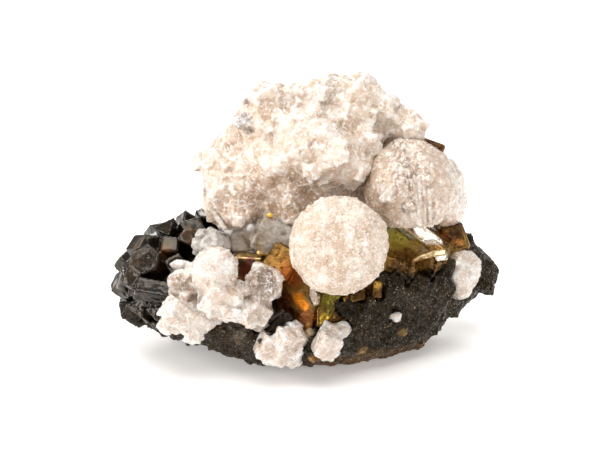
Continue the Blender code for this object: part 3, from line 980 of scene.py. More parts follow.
@dataclass(frozen=True)
class CalciteFinish(Finish):
    """Sugary, milky calcite: light goes into it, and its small faces glint; its colour also carries
    painted shade in hollows, painted highlights on crests and painted white glints.
    """

    grain: float = 0.9
    glint: float = 0.08
    dull: float = 0.5
    milk: float = 0.65
    depth: float = 1.1
    clear: float = 0.1
    relief: float = 0.5
    dim: Triple = srgb(242, 232, 222)
    painted_shade_share: float = 0.65
    # painted highlight: how far the crests are turned white
    crest_highlight_share: float = 0.5
    veins: float = 0.6
    packed: tuple[float, ...] = (4.4, 1.9)
    cloudy: Triple = srgb(238, 229, 219)
    # painted glints: how much white some small faces take
    painted_glints: float = 0.5
    gloss: float = 0.8
    # painted shade: the colour that the hollows are darkened towards
    painted_hollow_shade: Triple = srgb(198, 177, 150)
    bright: Triple = srgb(255, 253, 250)
    face_white: Triple = srgb(255, 253, 251)
    painted_glint_colour: Triple = (1.0, 0.995, 0.985)
    milky: Triple = srgb(234, 224, 214)
    glow: Triple = (1.0, 0.88, 0.76)
    index: float = 1.58
    coat_index: float = 1.7
    coat_roughness: float = 0.08
    finer: float = 0.45
    fine_relief: float = 0.8
    dust: float = 0.5
    dust_depth: float = 0.12
    painted_shade_span: Span = (0.02, 0.3)
    crest_highlight_span: Span = (-0.02, -0.4)
    painted_glint_span: Span = (0.82, 0.9)
    glint_span: Span = (0.2, 0.7)
    cloud_size: float = 2.6
    cloud_span: Span = (0.35, 0.65)
    face_span: Span = (0.3, 0.8)
    face_share: float = 0.5
    milky_span: Span = (0.1, 0.7)
    vein_size: float = 1.8
    vein_span: Span = (0.45, 0.62)
    shade_span: Span = (0.2, 0.9)
    seam_span: Span = (0.0, 0.06)

    def dress(self, graph: Graph) -> None:
        """Adds the finish's nodes to a graph.

        Args:
            graph: the graph of its material.
        """
        coarse, own = graph.facets(self.grain)
        fine, sparkle = graph.facets(self.grain * self.finer)
        colour = graph.times(graph.attribute("paint", "Color"), self._tone(graph, own))
        colour = self._packed(graph, colour)
        height = graph.attribute("hollow")
        hollow = graph.ramp(height, self.painted_shade_span, 0.0, self.painted_shade_share)
        crest = graph.ramp(height, self.crest_highlight_span, 0.0, self.crest_highlight_share)
        # Painted shade: hollows darkened towards the shade colour, by how deep each point lies.
        colour = graph.blend(hollow, colour, self.painted_hollow_shade, Mix.MULTIPLY)
        # Painted highlight: crests, which stand above the ground around them, turned whiter.
        colour = graph.blend(crest, colour, FROST)
        # Painted glints: white specks on some of the small faces.
        fleck = graph.ramp(sparkle, self.painted_glint_span, 0.0, self.painted_glints)
        graph.colour(graph.blend(fleck, colour, self.painted_glint_colour))
        graph.roughness(graph.ramp(sparkle, self.glint_span, self.glint, self.dull))
        graph.bumps(
            (coarse, self.grain, self.relief),
            (fine, self.grain * self.finer, self.relief * self.fine_relief),
            (graph.noise(self.grain * self.dust, 4.0), self.grain * self.dust_depth, 0.5),
        )
        graph.constants(
            Subsurface_Weight=self.milk, Subsurface_Radius=self.glow,
            Subsurface_Scale=self.depth * MM, Transmission_Weight=self.clear, IOR=self.index,
            Coat_Weight=self.gloss, Coat_Roughness=self.coat_roughness, Coat_IOR=self.coat_index,
        )

    def _tone(self, graph: Graph, own: Socket) -> Socket:
        """The white of the crystals, cloudier in some of them.

        Args:
            graph: the graph of its material.
            own: each small face's own value.

        Returns:
            The tone, which the paint is multiplied by.
        """
        cloud = graph.ramp(graph.noise(self.cloud_size, 4.0), self.cloud_span)
        tone = graph.blend(cloud, self.dim, self.bright)
        faces = graph.ramp(own, self.face_span, 0.0, self.face_share)
        tone = graph.blend(faces, tone, self.face_white)
        milky = graph.ramp(graph.attribute("own"), self.milky_span)
        return graph.blend(milky, graph.times(tone, self.milky), tone)

    def _packed(self, graph: Graph, colour: Socket) -> Socket:
        """Crystals packed tightly, each with a shade of its own and broken white joints.

        Args:
            graph: the graph of its material.
            colour: the colour so far.

        Returns:
            The colour with the crystals.
        """
        broken = graph.ramp(graph.noise(self.vein_size), self.vein_span, 0.0, self.veins)
        for size in self.packed:
            joint, shade = graph.packing(size)
            shades = graph.ramp(shade, self.shade_span)
            colour = graph.blend(shades, colour, graph.times(colour, self.cloudy))
            near = graph.ramp(joint, self.seam_span, 1.0, 0.0)
            seam = graph.add("ShaderNodeMath", {0: near, 1: broken}, operation="MULTIPLY")
            colour = graph.blend(seam.outputs[0], colour, FROST)
        return colour


@dataclass(frozen=True)
class ClearFinish(Finish):
    """Clear to smoky calcite that is seen through."""

    tone: Triple = srgb(214, 198, 174)
    veil: Triple = srgb(248, 246, 242)
    clear: float = 0.5
    index: float = 1.56
    coarse: float = 1.3
    fine: float = 0.6
    glint: float = 0.03
    dull: float = 0.35
    glint_span: Span = (0.2, 0.8)
    veil_size: float = 1.6
    veil_span: Span = (0.42, 0.68)
    coarse_relief: float = 0.45
    fine_relief: float = 0.35

    def dress(self, graph: Graph) -> None:
        """Adds the finish's nodes to a graph.

        Args:
            graph: the graph of its material.
        """
        coarse, _ = graph.facets(self.coarse)
        fine, sparkle = graph.facets(self.fine)
        veil = graph.ramp(graph.noise(self.veil_size), self.veil_span)
        colour = graph.blend(veil, self.tone, self.veil)
        graph.colour(graph.times(colour, graph.attribute("paint", "Color")))
        graph.roughness(graph.ramp(sparkle, self.glint_span, self.glint, self.dull))
        graph.bumps((coarse, self.coarse, self.coarse_relief), (fine, self.fine, self.fine_relief))
        graph.constants(Transmission_Weight=self.clear, IOR=self.index)


@dataclass(frozen=True)
class PyriteFinish(Finish):
    """Tarnished pyrite: each face has a tint of its own, with growth lines across it and painted shade
    in its crevices.
    """

    lines: Triple = (1.0, 1.0, 0.12)
    line_size: float = 1.2
    line_depth: float = 0.05
    metal: float = 0.85
    index: float = 1.8
    polish: float = 0.14
    dull: float = 0.4
    chip: float = 0.9
    brighter: Triple = (1.35, 1.3, 1.2)
    darker: Triple = srgb(125, 90, 60)
    # painted shade: the colour that crevices are darkened towards
    crevice: Triple = srgb(34, 22, 12)
    streak_span: Span = (0.42, 0.64)
    streak_share: float = 0.8
    patch_size: float = 1.1
    patch_span: Span = (0.55, 0.7)
    patch_share: float = 0.7
    painted_shade_span: Span = (0.02, 0.18)
    painted_shade_share: float = 0.9
    gloss_span: Span = (0.2, 0.8)

    def dress(self, graph: Graph) -> None:
        """Adds the finish's nodes to a graph.

        Args:
            graph: the graph of its material.
        """
        paint = graph.attribute("paint", "Color")
        streaks = graph.noise(self.line_size, 2.0, self.lines)
        patches = graph.noise(self.patch_size, 4.0)
        bright = graph.times(paint, self.brighter)
        lines = graph.ramp(streaks, self.streak_span, 0.0, self.streak_share)
        colour = graph.blend(lines, paint, bright)
        dark = graph.times(paint, self.darker)
        dull = graph.ramp(patches, self.patch_span, 0.0, self.patch_share)
        colour = graph.blend(dull, colour, dark)
        # Painted shade in the crevices, by how deep each point lies.
        hollow = graph.ramp(graph.attribute("hollow"), self.painted_shade_span, 0.0, self.painted_shade_share)
        graph.colour(graph.blend(hollow, colour, self.crevice))
        chips, own = graph.facets(self.chip)
        graph.roughness(graph.ramp(own, self.gloss_span, self.polish, self.dull))
        graph.bumps(
            (streaks, self.line_depth, 0.7), (chips, self.chip, 0.10), (graph.noise(0.35), 0.02, 0.5),
        )
        graph.constants(Metallic=self.metal, IOR=self.index)


@dataclass(frozen=True)
class BlackFinish(Finish):
    """Lustrous black sphalerite, brown where it is thin, with fine growth lines."""

    lines: Triple = (1.0, 1.0, 0.14)
    line_size: float = 1.0
    line_depth: float = 0.05
    polish: float = 0.03
    dull: float = 0.15
    chip: float = 1.1
    browner: Triple = (2.6, 1.9, 1.35)
    patch_size: float = 2.2
    patch_span: Span = (0.48, 0.66)
    gloss_size: float = 0.9
    gloss_span: Span = (0.35, 0.65)
    index: float = 1.5
    gleam: Triple = (1.0, 0.9, 0.76)

    def dress(self, graph: Graph) -> None:
        """Adds the finish's nodes to a graph.

        Args:
            graph: the graph of its material.
        """
        paint = graph.attribute("paint", "Color")
        streaks = graph.noise(self.line_size, 2.0, self.lines)
        patches = graph.noise(self.patch_size)
        brown = graph.times(paint, self.browner)
        graph.colour(graph.blend(graph.ramp(patches, self.patch_span), paint, brown))
        gloss = graph.noise(self.gloss_size)
        graph.roughness(graph.ramp(gloss, self.gloss_span, self.polish, self.dull))
        chips, _ = graph.facets(self.chip)
        graph.bumps(
            (streaks, self.line_depth, 0.6), (chips, self.chip, 0.14), (graph.noise(0.4), 0.02, 0.4),
        )
        graph.constants(IOR=self.index, Specular_Tint=(*self.gleam, 1.0))


@dataclass(frozen=True)
class RockFinish(Finish):
    """Dark granular rock with sparkling grains, partly painted sparkle, rusty patches and painted shade
    in its crevices.
    """

    grain: float = 0.8
    darkest: float = 0.35
    lightest: float = 1.7
    speck: Triple = srgb(132, 112, 86)
    # painted sparkle: the pale colour of the specks that stand for glints
    painted_sparkle: Triple = srgb(188, 176, 158)
    earthy: Triple = (2.6, 1.75, 0.9)
    # painted shade: the colour that crevices are darkened towards
    crevice: Triple = srgb(10, 8, 7)
    finer: float = 0.45
    tone_span: Span = (0.1, 0.9)
    speck_size: float = 0.7
    speck_span: Span = (0.66, 0.73)
    speck_share: float = 0.6
    painted_sparkle_size: float = 0.4
    painted_sparkle_span: Span = (0.66, 0.7)
    painted_sparkle_share: float = 0.7
    earth_size: float = 4.0
    earth_span: Span = (0.5, 0.68)
    earth_share: float = 0.6
    painted_shade_span: Span = (0.02, 0.22)
    painted_shade_share: float = 0.95
    glint: float = 0.05
    dull: float = 0.75
    glint_span: Span = (0.2, 0.6)
    index: float = 1.45
    gleam: Triple = (1.0, 0.84, 0.6)

    def dress(self, graph: Graph) -> None:
        """Adds the finish's nodes to a graph.

        Args:
            graph: the graph of its material.
        """
        paint = graph.attribute("paint", "Color")
        coarse, own = graph.facets(self.grain)
        fine, sparkle = graph.facets(self.grain * self.finer)
        tone = graph.ramp(own, self.tone_span, self.darkest, self.lightest)
        grey = graph.add("ShaderNodeCombineColor", {0: tone, 1: tone, 2: tone}).outputs[0]
        colour = graph.times(paint, grey)
        noise = graph.noise(self.speck_size, 4.0)
        specks = graph.ramp(noise, self.speck_span, 0.0, self.speck_share)
        colour = graph.blend(specks, colour, self.speck)
        # Painted sparkle: tiny pale specks that stand for glints.
        noise = graph.noise(self.painted_sparkle_size, 2.0)
        painted_sparkle = graph.ramp(noise, self.painted_sparkle_span, 0.0, self.painted_sparkle_share)
        colour = graph.blend(painted_sparkle, colour, self.painted_sparkle)
        noise = graph.noise(self.earth_size, 4.0)
        earth = graph.ramp(noise, self.earth_span, 0.0, self.earth_share)
        colour = graph.blend(earth, colour, graph.times(colour, self.earthy))
        # Painted shade in the crevices, by how deep each point lies.
        hollow = graph.ramp(graph.attribute("hollow"), self.painted_shade_span, 0.0, self.painted_shade_share)
        graph.colour(graph.blend(hollow, colour, self.crevice))
        graph.roughness(graph.ramp(sparkle, self.glint_span, self.glint, self.dull))
        graph.bumps(
            (coarse, self.grain, 0.9), (fine, self.grain * self.finer, 0.6),
            (graph.noise(0.25, 4.0), 0.06, 0.6),
        )
        graph.constants(IOR=self.index, Specular_Tint=(*self.gleam, 1.0))


SUGAR = CalciteFinish("sugary calcite", Mineral.CALCITE)
BUTTON = CalciteFinish(
    "button calcite", Mineral.CALCITE, grain=0.6, depth=1.0, dim=srgb(248, 240, 232), painted_shade_share=0.6,
    veins=0.2, packed=(0.9,), cloudy=srgb(244, 238, 230), gloss=0.1,
)
FROSTED = CalciteFinish(
    "frosted calcite", Mineral.CALCITE, dim=srgb(250, 245, 241), clear=0.2, packed=(2.4,), veins=0.7,
    cloudy=srgb(242, 235, 228), gloss=0.9,
)
GLASSY = CalciteFinish(
    "glassy button calcite", Mineral.CALCITE, grain=0.8, glint=0.05, dull=0.3, relief=0.25,
    dim=srgb(240, 230, 222), clear=0.2, veins=0.3, packed=(1.4,), cloudy=srgb(240, 232, 224), gloss=0.9,
)
SMOKY = ClearFinish("smoky calcite", Mineral.CLEAR)
ICE = ClearFinish("ice-clear calcite", Mineral.CLEAR, tone=srgb(212, 206, 198), clear=0.4)
TARNISHED = PyriteFinish("tarnished pyrite", Mineral.PYRITE)
STRIATED = PyriteFinish("striated pyrite", Mineral.PYRITE, lines=(0.14, 1.0, 1.0))
BLACK = BlackFinish("black sphalerite", Mineral.SPHALERITE)
DARK_ROCK = RockFinish("dark granular rock", Mineral.ROCK)


@dataclass
class CalciteMass:
    """The large calcite mass on top: soft lumps overgrown with small crystals."""

    voxel: float = 0.34
    gap: float = 1.7
    softening: int = 60
    swell: float = 0.35
    boulders: Crust = Crust(5.0, 0.24, 21)
    crystals: Crust = Crust(2.7, 0.20, 31)
    blocks: Blocks = Blocks(420, 1.4, 3.6, 32)
    grains: Crust = Crust(1.3, 0.08, 41)
    patches: Wave = Wave(9.0, 2.0, 22)
    middling: float = 0.4
    least: float = 0.3
    border: Wave = Wave(9.0, 4.0, 3)
    beige_height: float = 44.0
    beige_depth: float = 20.0
    cream: Triple = srgb(250, 241, 232)
    beige: Triple = srgb(230, 215, 200)
    tints: tuple[Tint, ...] = (
        Tint("shade under the ledge", 292, 184, 6.0, srgb(196, 170, 142), 0.7),
        Tint("beige lower middle", 268, 205, 8.0, srgb(212, 190, 166), 0.8),
        Tint("grey-beige foot", 262, 226, 5.0, srgb(180, 160, 138), 0.8),
        Tint("beige beside the button", 310, 215, 7.0, srgb(214, 192, 168), 0.7),
        Tint("warm lower left", 230, 205, 6.0, srgb(226, 208, 190), 0.5),
        Tint("grey inclusion", 243, 118, 2.2, srgb(122, 112, 102), 0.8),
        Tint("dark inclusion", 236, 127, 1.5, srgb(104, 96, 88), 0.8),
        Tint("inclusion below it", 248, 131, 1.3, srgb(120, 110, 98), 0.8),
        Tint("upper grey inclusion", 245, 100, 1.6, srgb(130, 122, 114), 0.8),
        Tint("grey fleck near the top", 252, 90, 1.2, srgb(130, 122, 114), 0.7),
        # Painted highlights: whiter on the top and on the left side, where the light falls brightest.
        Tint("painted highlight under the crest", 322, 104, 8.0, srgb(255, 254, 252), 1.0),
        Tint("painted highlight on the right shoulder", 374, 112, 8.0, srgb(255, 252, 247), 0.7),
        Tint("foot of the painted highlight", 326, 120, 5.0, srgb(255, 253, 250), 0.8),
        Tint("painted highlight on the left side", 225, 160, 5.0, srgb(255, 250, 244), 0.6),
        # Painted shade in the dark gap on the right.
        Tint("painted shade in the gap on the right", 400, 145, 2.6, srgb(84, 64, 44), 0.9),
        Tint("beige rim of the hollow", 386, 142, 2.4, srgb(170, 146, 118), 0.8),
        Tint("brown edge on the left", 203, 191, 1.2, srgb(110, 92, 74), 0.8),
    )

    def build(self) -> None:
        """Makes the mass."""
        skin = Skin(["calcite_mass"], self.voxel)
        skin.close(self.gap)
        skin.soften(self.softening)
        skin.push(self.swell)
        skin.grow(self.boulders)
        grown = smoothstep(self.patches.at(skin.points) + self.middling)
        skin.grow(self.crystals, self.least + (1.0 - self.least) * grown)
        skin.stud(self.blocks)
        skin.soften(1)
        skin.grow(self.grains)
        self._paint(skin)
        skin.piece("calcite_mass_crust", SUGAR, hollow_times=24)

    def _paint(self, skin: Skin) -> None:
        """Paints it cream on top and beige below.

        Args:
            skin: its surface.
        """
        height = skin.points[:, 2] + self.border.at(skin.points)
        skin.covered(self.cream)
        skin.shaded(smoothstep((self.beige_height - height) / self.beige_depth), self.beige)
        skin.tinted(self.tints)


@dataclass
class FrontButton:
    """The round button that faces the viewer, rough as sugar, with a serrated rim."""

    voxel: float = 0.22
    steps: Crust = Crust(3.4, 0.06, 51)
    blocks: Blocks = Blocks(220, 0.8, 1.6, 56, 0.42)
    grains: tuple[Crust, ...] = (Crust(1.2, 0.12, 52), Crust(0.6, 0.2, 53))
    rim_start: float = 0.86
    rim_blend: float = 0.1
    teeth: Crust = Crust(1.0, 0.52, 55)
    tooth_rise: float = 0.25
    sample: int = 7
    least_reach: float = 0.01
    patches: Wave = Wave(1.6, 1.0, 54)
    patch_edge: float = 4.0
    white_above: float = 0.15
    white_share: float = 0.8
    beige_below: float = -0.25
    beige_share: float = 0.35
    cream: Triple = srgb(236, 225, 214)
    white: Triple = srgb(255, 253, 250)
    beige: Triple = srgb(226, 208, 192)

    def build(self) -> None:
        """Makes the button."""
        skin = Skin(["calcite_disc_front"], self.voxel)
        skin.soften(4)
        skin.grow(self.steps)
        self._serrate(skin)
        skin.stud(self.blocks)
        for crust in self.grains:
            skin.grow(crust)
        skin.covered(self.cream)
        patches = self.patches.at(skin.points)
        pale = smoothstep((patches - self.white_above) * self.patch_edge)
        warm = smoothstep((self.beige_below - patches) * self.patch_edge)
        skin.shaded(pale * self.white_share, self.white)
        skin.shaded(warm * self.beige_share, self.beige)
        skin.piece("calcite_button_front", BUTTON, hollow_times=8)

    def _serrate(self, skin: Skin) -> None:
        """Breaks the rim up into small teeth.

        Args:
            skin: its surface.
        """
        middle = skin.points.mean(axis=0)
        away = skin.points - middle
        axis = np.linalg.svd(away[:: self.sample], full_matrices=False)[2][2]
        flat = away - np.outer(away @ axis, axis)
        reach = np.linalg.norm(flat, axis=1)
        rim = smoothstep((reach / reach.max() - self.rim_start) / self.rim_blend)
        heights, _ = Lattice.crystals(skin.points, self.teeth.spacing, self.teeth.seed, FRAMES)
        outward = flat / np.maximum(reach, self.least_reach)[:, None]
        steps = rim * (heights - heights.mean() + self.tooth_rise) * self.teeth.slope
        skin.points += outward * steps[:, None]


@dataclass
class RightButton:
    """The larger button: smooth on its left, striated down its middle, granular right."""

    voxel: float = 0.24
    steps: Crust = Crust(3.0, 0.10, 60)
    grains: Crust = Crust(1.2, 0.30, 61)
    ridges: Crust = Crust(1.2, 1.1, 62, (0.6, 0.6, 3.0))
    middle_row: float = 180.0
    lean: float = -0.35
    grains_column: float = 388.0
    grains_blend: float = 30.0
    ridges_column: float = 412.0
    ridges_reach: float = 26.0
    streaks: Wave = Wave(1.1, 1.0, 64)
    streak_stretch: Triple = (1.0, 1.0, 4.0)
    streak_from: float = 0.08
    streak_edge: float = 6.0
    brown_share: float = 0.8
    pinkish: Triple = srgb(231, 214, 195)
    pale: Triple = srgb(244, 230, 216)
    # white of the painted glints in the striated band
    white: Triple = srgb(255, 255, 253)
    brown: Triple = srgb(160, 134, 106)
    glints: tuple[Lump, ...] = (
        Cuboid("bright crystal", 388, 193, (1.5, 1.3, 1.8), (20.0, 30.0, 10.0), 0.2),
        Cuboid("crystal above it", 393, 187, (1.3, 1.2, 1.3), (0.0, 50.0, 30.0), 0.2),
        Cuboid("crystal left of it", 383, 199, (1.2, 1.2, 1.2), (30.0, 10.0, 60.0), 0.2),
        Cuboid("crystal below it", 390, 200, (1.2, 1.0, 1.4), (50.0, 20.0, 10.0), 0.2),
        Cuboid("crystal low in the ridges", 408, 207, (1.4, 1.2, 2.0), (10.0, 60.0, 20.0), 0.2),
        Cuboid("crystal on the right", 437, 205, (1.6, 1.4, 2.2), (25.0, 15.0, 40.0), 0.2),
        Cuboid("crystal at the upper right", 428, 180, (1.4, 1.2, 2.0), (45.0, 15.0, 20.0), 0.2),
    )
    tints: tuple[Tint, ...] = (
        Tint("white glint", 389, 192, 2.4, srgb(255, 255, 253), 1.0),
        Tint("lower glint", 383, 200, 1.4, srgb(255, 255, 253), 1.0),
        Tint("dark nick", 402, 204, 0.8, srgb(150, 132, 114), 0.6),
        # Painted glints along the striations.
        Tint("painted glint streak", 420, 176, 1.0, srgb(255, 252, 248), 0.9),
        Tint("lower painted glint streak", 426, 190, 0.9, srgb(255, 252, 248), 0.9),
        Tint("pale right edge", 456, 172, 3.6, srgb(255, 253, 250), 0.9),
        Tint("shaded left side", 361, 178, 3.2, srgb(190, 172, 152), 0.7),
        Tint("brown foot", 406, 212, 1.6, srgb(150, 130, 106), 0.7),
        Tint("pale lower right", 462, 200, 3.6, srgb(255, 253, 250), 0.9),
    )

    def build(self) -> None:
        """Makes the button."""
        carrier = Carrier(["calcite_disc_right"])
        skin = Skin(["calcite_disc_right"], self.voxel, [glint.shape(carrier) for glint in self.glints])
        skin.soften(4)
        column, row, _ = EYE.pixels(skin.points)
        leaning = column + (row - self.middle_row) * self.lean
        right = smoothstep((leaning - self.grains_column) / self.grains_blend)
        band = smoothstep(1.0 - np.abs(leaning - self.ridges_column) / self.ridges_reach)
        skin.grow(self.steps)
        skin.grow(self.grains, right)
        skin.grow(self.ridges, band)
        skin.covered(self.pinkish)
        skin.shaded(right, self.pale)
        streaks = self.streaks.at(skin.points / np.array(self.streak_stretch))
        pale = smoothstep((streaks - self.streak_from) * self.streak_edge)
        dark = smoothstep((-self.streak_from - streaks) * self.streak_edge)
        # Painted glints: white streaks in the striated band.
        skin.shaded(band * pale, self.white)
        skin.shaded(band * dark * self.brown_share, self.brown)
        skin.tinted(self.tints)
        skin.piece("calcite_button_right", GLASSY, hollow_times=10)


@dataclass
class CalciteCluster:
    """A small group of white crystals."""

    nodes: tuple[str, ...]
    name: str
    voxel: float = 0.22
    gap: float = 0.0
    softening: int = 5
    swell: float = 0.15
    blocks: Blocks | None = None
    seed: int = 70
    finish: Finish = FROSTED
    colour: Triple = srgb(255, 251, 248)
    lumps: tuple[Lump, ...] = ()
    carriers: tuple[str, ...] = ()
    tints: tuple[Tint, ...] = ()
    crusts: tuple[tuple[float, float], ...] = ((2.4, 0.36), (1.2, 0.26), (0.6, 0.12))

    SEED_STEP = 3

    def build(self) -> None:
        """Makes the group."""
        carrier = Carrier((*self.nodes, *self.carriers))
        skin = Skin(self.nodes, self.voxel, [lump.shape(carrier) for lump in self.lumps])
        if self.gap:
            skin.close(self.gap)
        skin.soften(self.softening)
        skin.push(self.swell)
        if self.blocks:
            skin.stud(self.blocks)
        for i, (spacing, slope) in enumerate(self.crusts):
            skin.grow(Crust(spacing, slope, self.seed + i * self.SEED_STEP))
        skin.covered(self.colour)
        skin.tinted(self.tints)
        skin.piece(self.name, self.finish, hollow_times=10)


@dataclass
class Accent:
    """A small thing of its own that sits on a larger one."""

    name: str
    form: Lump | Facet
    carriers: tuple[str, ...]
    finish: Finish
    colour: Triple
    voxel: float = 0.12

    def build(self) -> None:
        """Makes the accent."""
        skin = Skin((), self.voxel, [self.form.shape(Carrier(self.carriers))])
        skin.soften(2)
        skin.covered(self.colour)
        skin.piece(self.name, self.finish, hollow_times=6)


@dataclass
class PyriteCrystals:
    """Flat-faced crystals of pyrite, remeshed finely enough to keep their edges."""

    nodes: tuple[str, ...]
    name: str
    finish: Finish = TARNISHED
    voxel: float = 0.2
    colour: Triple = srgb(140, 108, 52)
    swell: float = 0.18
    waves: tuple[Wave, ...] = (Wave(2.2, 0.05, 81), Wave(0.7, 0.025, 82))
    breaks: tuple[Crust, ...] = (Crust(1.5, 0.4, 83), Crust(0.7, 0.3, 84))
    facets: tuple[Facet, ...] = ()
    tints: tuple[Tint, ...] = ()
    rough: tuple[Tint, ...] = ()

    def build(self) -> None:
        """Makes the crystals."""
        carrier = Carrier(self.nodes)
        skin = Skin(self.nodes, self.voxel, [facet.shape(carrier) for facet in self.facets])
        skin.push(self.swell)
        skin.soften(1)
        for wave in self.waves:
            skin.ripple(wave)
        broken = sum((spot.weights(skin.points) for spot in self.rough), np.zeros(len(skin.points)))
        for crust in self.breaks:
            skin.grow(crust, broken)
        skin.covered(self.colour)
        skin.tinted((*self.rough, *self.tints))
        normals = skin.normals()
        # Each facet's colour; those of the bevel and the step below it are painted reflections.
        for facet in self.facets:
            skin.shaded(facet.weights(skin.points, normals, carrier), facet.colour)
        skin.piece(self.name, self.finish, hollow_times=6)


@dataclass
class BlackCrystals:
    """Lustrous black crystals with flat striated faces."""

    nodes: tuple[str, ...]
    name: str
    voxel: float = 0.25
    swell: float = 0.12
    rubble: Crust = Crust(1.3, 0.35, 91)
    rubble_row: float = 285.0
    rubble_row_blend: float = 12.0
    rubble_column: float = 175.0
    rubble_column_blend: float = 20.0
    wave: Wave = Wave(1.6, 0.06, 92)
    colour: Triple = srgb(18, 13, 9)
    extras: tuple[Facet | Lump, ...] = ()
    tints: tuple[Tint, ...] = ()

    def build(self) -> None:
        """Makes the crystals."""
        carrier = Carrier((*self.nodes, "matrix"))
        skin = Skin(self.nodes, self.voxel, [extra.shape(carrier) for extra in self.extras])
        skin.push(self.swell)
        skin.soften(1)
        column, row, _ = EYE.pixels(skin.points)
        low = smoothstep((row - self.rubble_row) / self.rubble_row_blend)
        left = smoothstep((self.rubble_column - column) / self.rubble_column_blend)
        skin.grow(self.rubble, low * left)
        skin.ripple(self.wave)
        skin.covered(self.colour)
        skin.tinted(self.tints)
        skin.piece(self.name, BLACK, hollow_times=6)


@dataclass
class MatrixRock:
    """The dark granular rock that carries everything, rusty along its lower edge."""

    voxel: float = 0.38
    foot: float = 1.2
    wave: Wave = Wave(7.0, 0.7, 100)
    boulders: Crust = Crust(4.0, 0.25, 101)
    blocks: Blocks = Blocks(500, 1.2, 4.0, 104, 0.36)
    grains: tuple[Crust, ...] = (Crust(1.6, 0.40, 102), Crust(0.9, 0.35, 103))
    rust_height: float = 5.5
    rust_depth: float = 3.0
    rust_left: float = -4.0
    rust_blend: float = 12.0
    rust_share: float = 0.75
    border: Wave = Wave(5.0, 1.5, 8)
    colour: Triple = srgb(20, 14, 7)
    rust: Triple = srgb(100, 72, 40)
    tints: tuple[Tint, ...] = (
        Tint("grey slate patch", 232, 333, 3.4, srgb(92, 84, 74), 0.8),
        Tint("brown right shoulder", 455, 262, 3.0, srgb(60, 48, 34), 0.6),
        Tint("rusty speck", 364, 352, 1.8, srgb(150, 118, 66), 0.7),
        Tint("smaller rusty speck", 404, 334, 1.4, srgb(150, 118, 66), 0.6),
        Tint("rusty lower edge", 290, 365, 2.4, srgb(150, 110, 56), 0.8),
        Tint("rusty patch beside it", 314, 362, 1.8, srgb(170, 124, 60), 0.8),
        Tint("shade under the button", 354, 313, 3.4, srgb(6, 5, 4), 0.95),
        Tint("greenish patch", 436, 268, 2.0, srgb(34, 44, 40), 0.6),
    )

    def build(self) -> None:
        """Makes the rock."""
        skin = Skin(["matrix"], self.voxel)
        above = smoothstep(skin.points[:, 2] / self.foot)
        skin.soften(3)
        skin.ripple(self.wave, above)
        skin.grow(self.boulders, above)
        skin.stud(self.blocks)
        above = smoothstep(skin.points[:, 2] / self.foot)
        for crust in self.grains:
            skin.grow(crust, above)
        skin.covered(self.colour)
        height = skin.points[:, 2] + self.border.at(skin.points)
        low = smoothstep((self.rust_height - height) / self.rust_depth)
        right = smoothstep((skin.points[:, 0] - self.rust_left) / self.rust_blend)
        skin.shaded(low * right * self.rust_share, self.rust)
        skin.tinted(self.tints)
        skin.points[:, 2] = np.maximum(skin.points[:, 2], 0.0)
        skin.piece("matrix_rock", DARK_ROCK, hollow_times=10)


@dataclass(frozen=True)
class Softbox:
    """A square studio light that looks at the specimen."""

    name: str
    place: Triple
    width: float
    watts: float
    aim: Triple = (0.0, 0.0, 25.0)

    def build(self) -> None:
        """Makes the light; its place and width are millimetres."""
        data = bpy.data.lights.new(self.name, "AREA")
        data.size = self.width * MM
        data.energy = self.watts
        light = bpy.data.objects.new(self.name, data)
        light.location = Vector(self.place) * MM
        ahead = Vector(self.aim) * MM - light.location
        light.rotation_euler = ahead.to_track_quat("-Z", "Y").to_euler()
        bpy.context.scene.collection.objects.link(light)


@dataclass
class Studio:
    """The pale floor, the bright surroundings and the lights."""

    floor_width: float = 4000.0
    mottle: float = 60.0
    grey_paper: Triple = (0.91, 0.885, 0.865)
    white_paper: Triple = (0.94, 0.92, 0.90)
    glow: float = 0.3
    glow_colour: Triple = (1.0, 0.97, 0.94)
    room_colour: Triple = (1.0, 0.985, 0.965)
    front: float = -0.7
    back: float = 0.2
    front_tone: float = 0.16
    back_tone: float = 0.5
    lights: tuple[Softbox, ...] = (
        Softbox("overhead", (0.0, -150.0, 560.0), 460.0, 2.9),
        Softbox("left", (-460.0, -200.0, 260.0), 360.0, 2.1),
        Softbox("back", (-120.0, 550.0, 480.0), 300.0, 2.2),
        Softbox("right", (420.0, -300.0, 240.0), 140.0, 0.35),
    )

    def build(self) -> None:
        """Makes the studio."""
        self._floor()
        self._surroundings()
        for light in self.lights:
            light.build()
        bpy.context.scene.view_settings.view_transform = "Standard"

    def _floor(self) -> None:
        """A large plain floor that the specimen stands on."""
        bm = bmesh.new()
        bmesh.ops.create_grid(bm, x_segments=1, y_segments=1, size=self.floor_width * 0.5 * MM)
        mesh = bpy.data.meshes.new("floor")
        bm.to_mesh(mesh)
        bm.free()
        graph = Graph("white paper")
        graph.colour(graph.blend(graph.noise(self.mottle), self.grey_paper, self.white_paper))
        graph.constants(
            Roughness=0.7, Emission_Color=(*self.glow_colour, 1.0), Emission_Strength=self.glow,
        )
        mesh.materials.append(graph.material)
        floor = bpy.data.objects.new("floor", mesh)
        bpy.context.scene.collection.objects.link(floor)

    def _surroundings(self) -> None:
        """A white room, darker on the viewer's side."""
        world = bpy.data.worlds.new("studio")
        world.use_nodes = True
        bpy.context.scene.world = world
        tree = world.node_tree
        ground = tree.nodes["Background"]
        ground.inputs["Color"].default_value = (*self.room_colour, 1.0)
        where = tree.nodes.new("ShaderNodeTexCoord")
        parts = tree.nodes.new("ShaderNodeSeparateXYZ")
        tone = tree.nodes.new("ShaderNodeMapRange")
        limits = (self.front, self.back, self.front_tone, self.back_tone)
        for socket, value in enumerate(limits, start=1):
            tone.inputs[socket].default_value = value
        tree.links.new(where.outputs["Generated"], parts.inputs[0])
        tree.links.new(parts.outputs["Y"], tone.inputs[0])
        tree.links.new(tone.outputs[0], ground.inputs["Strength"])


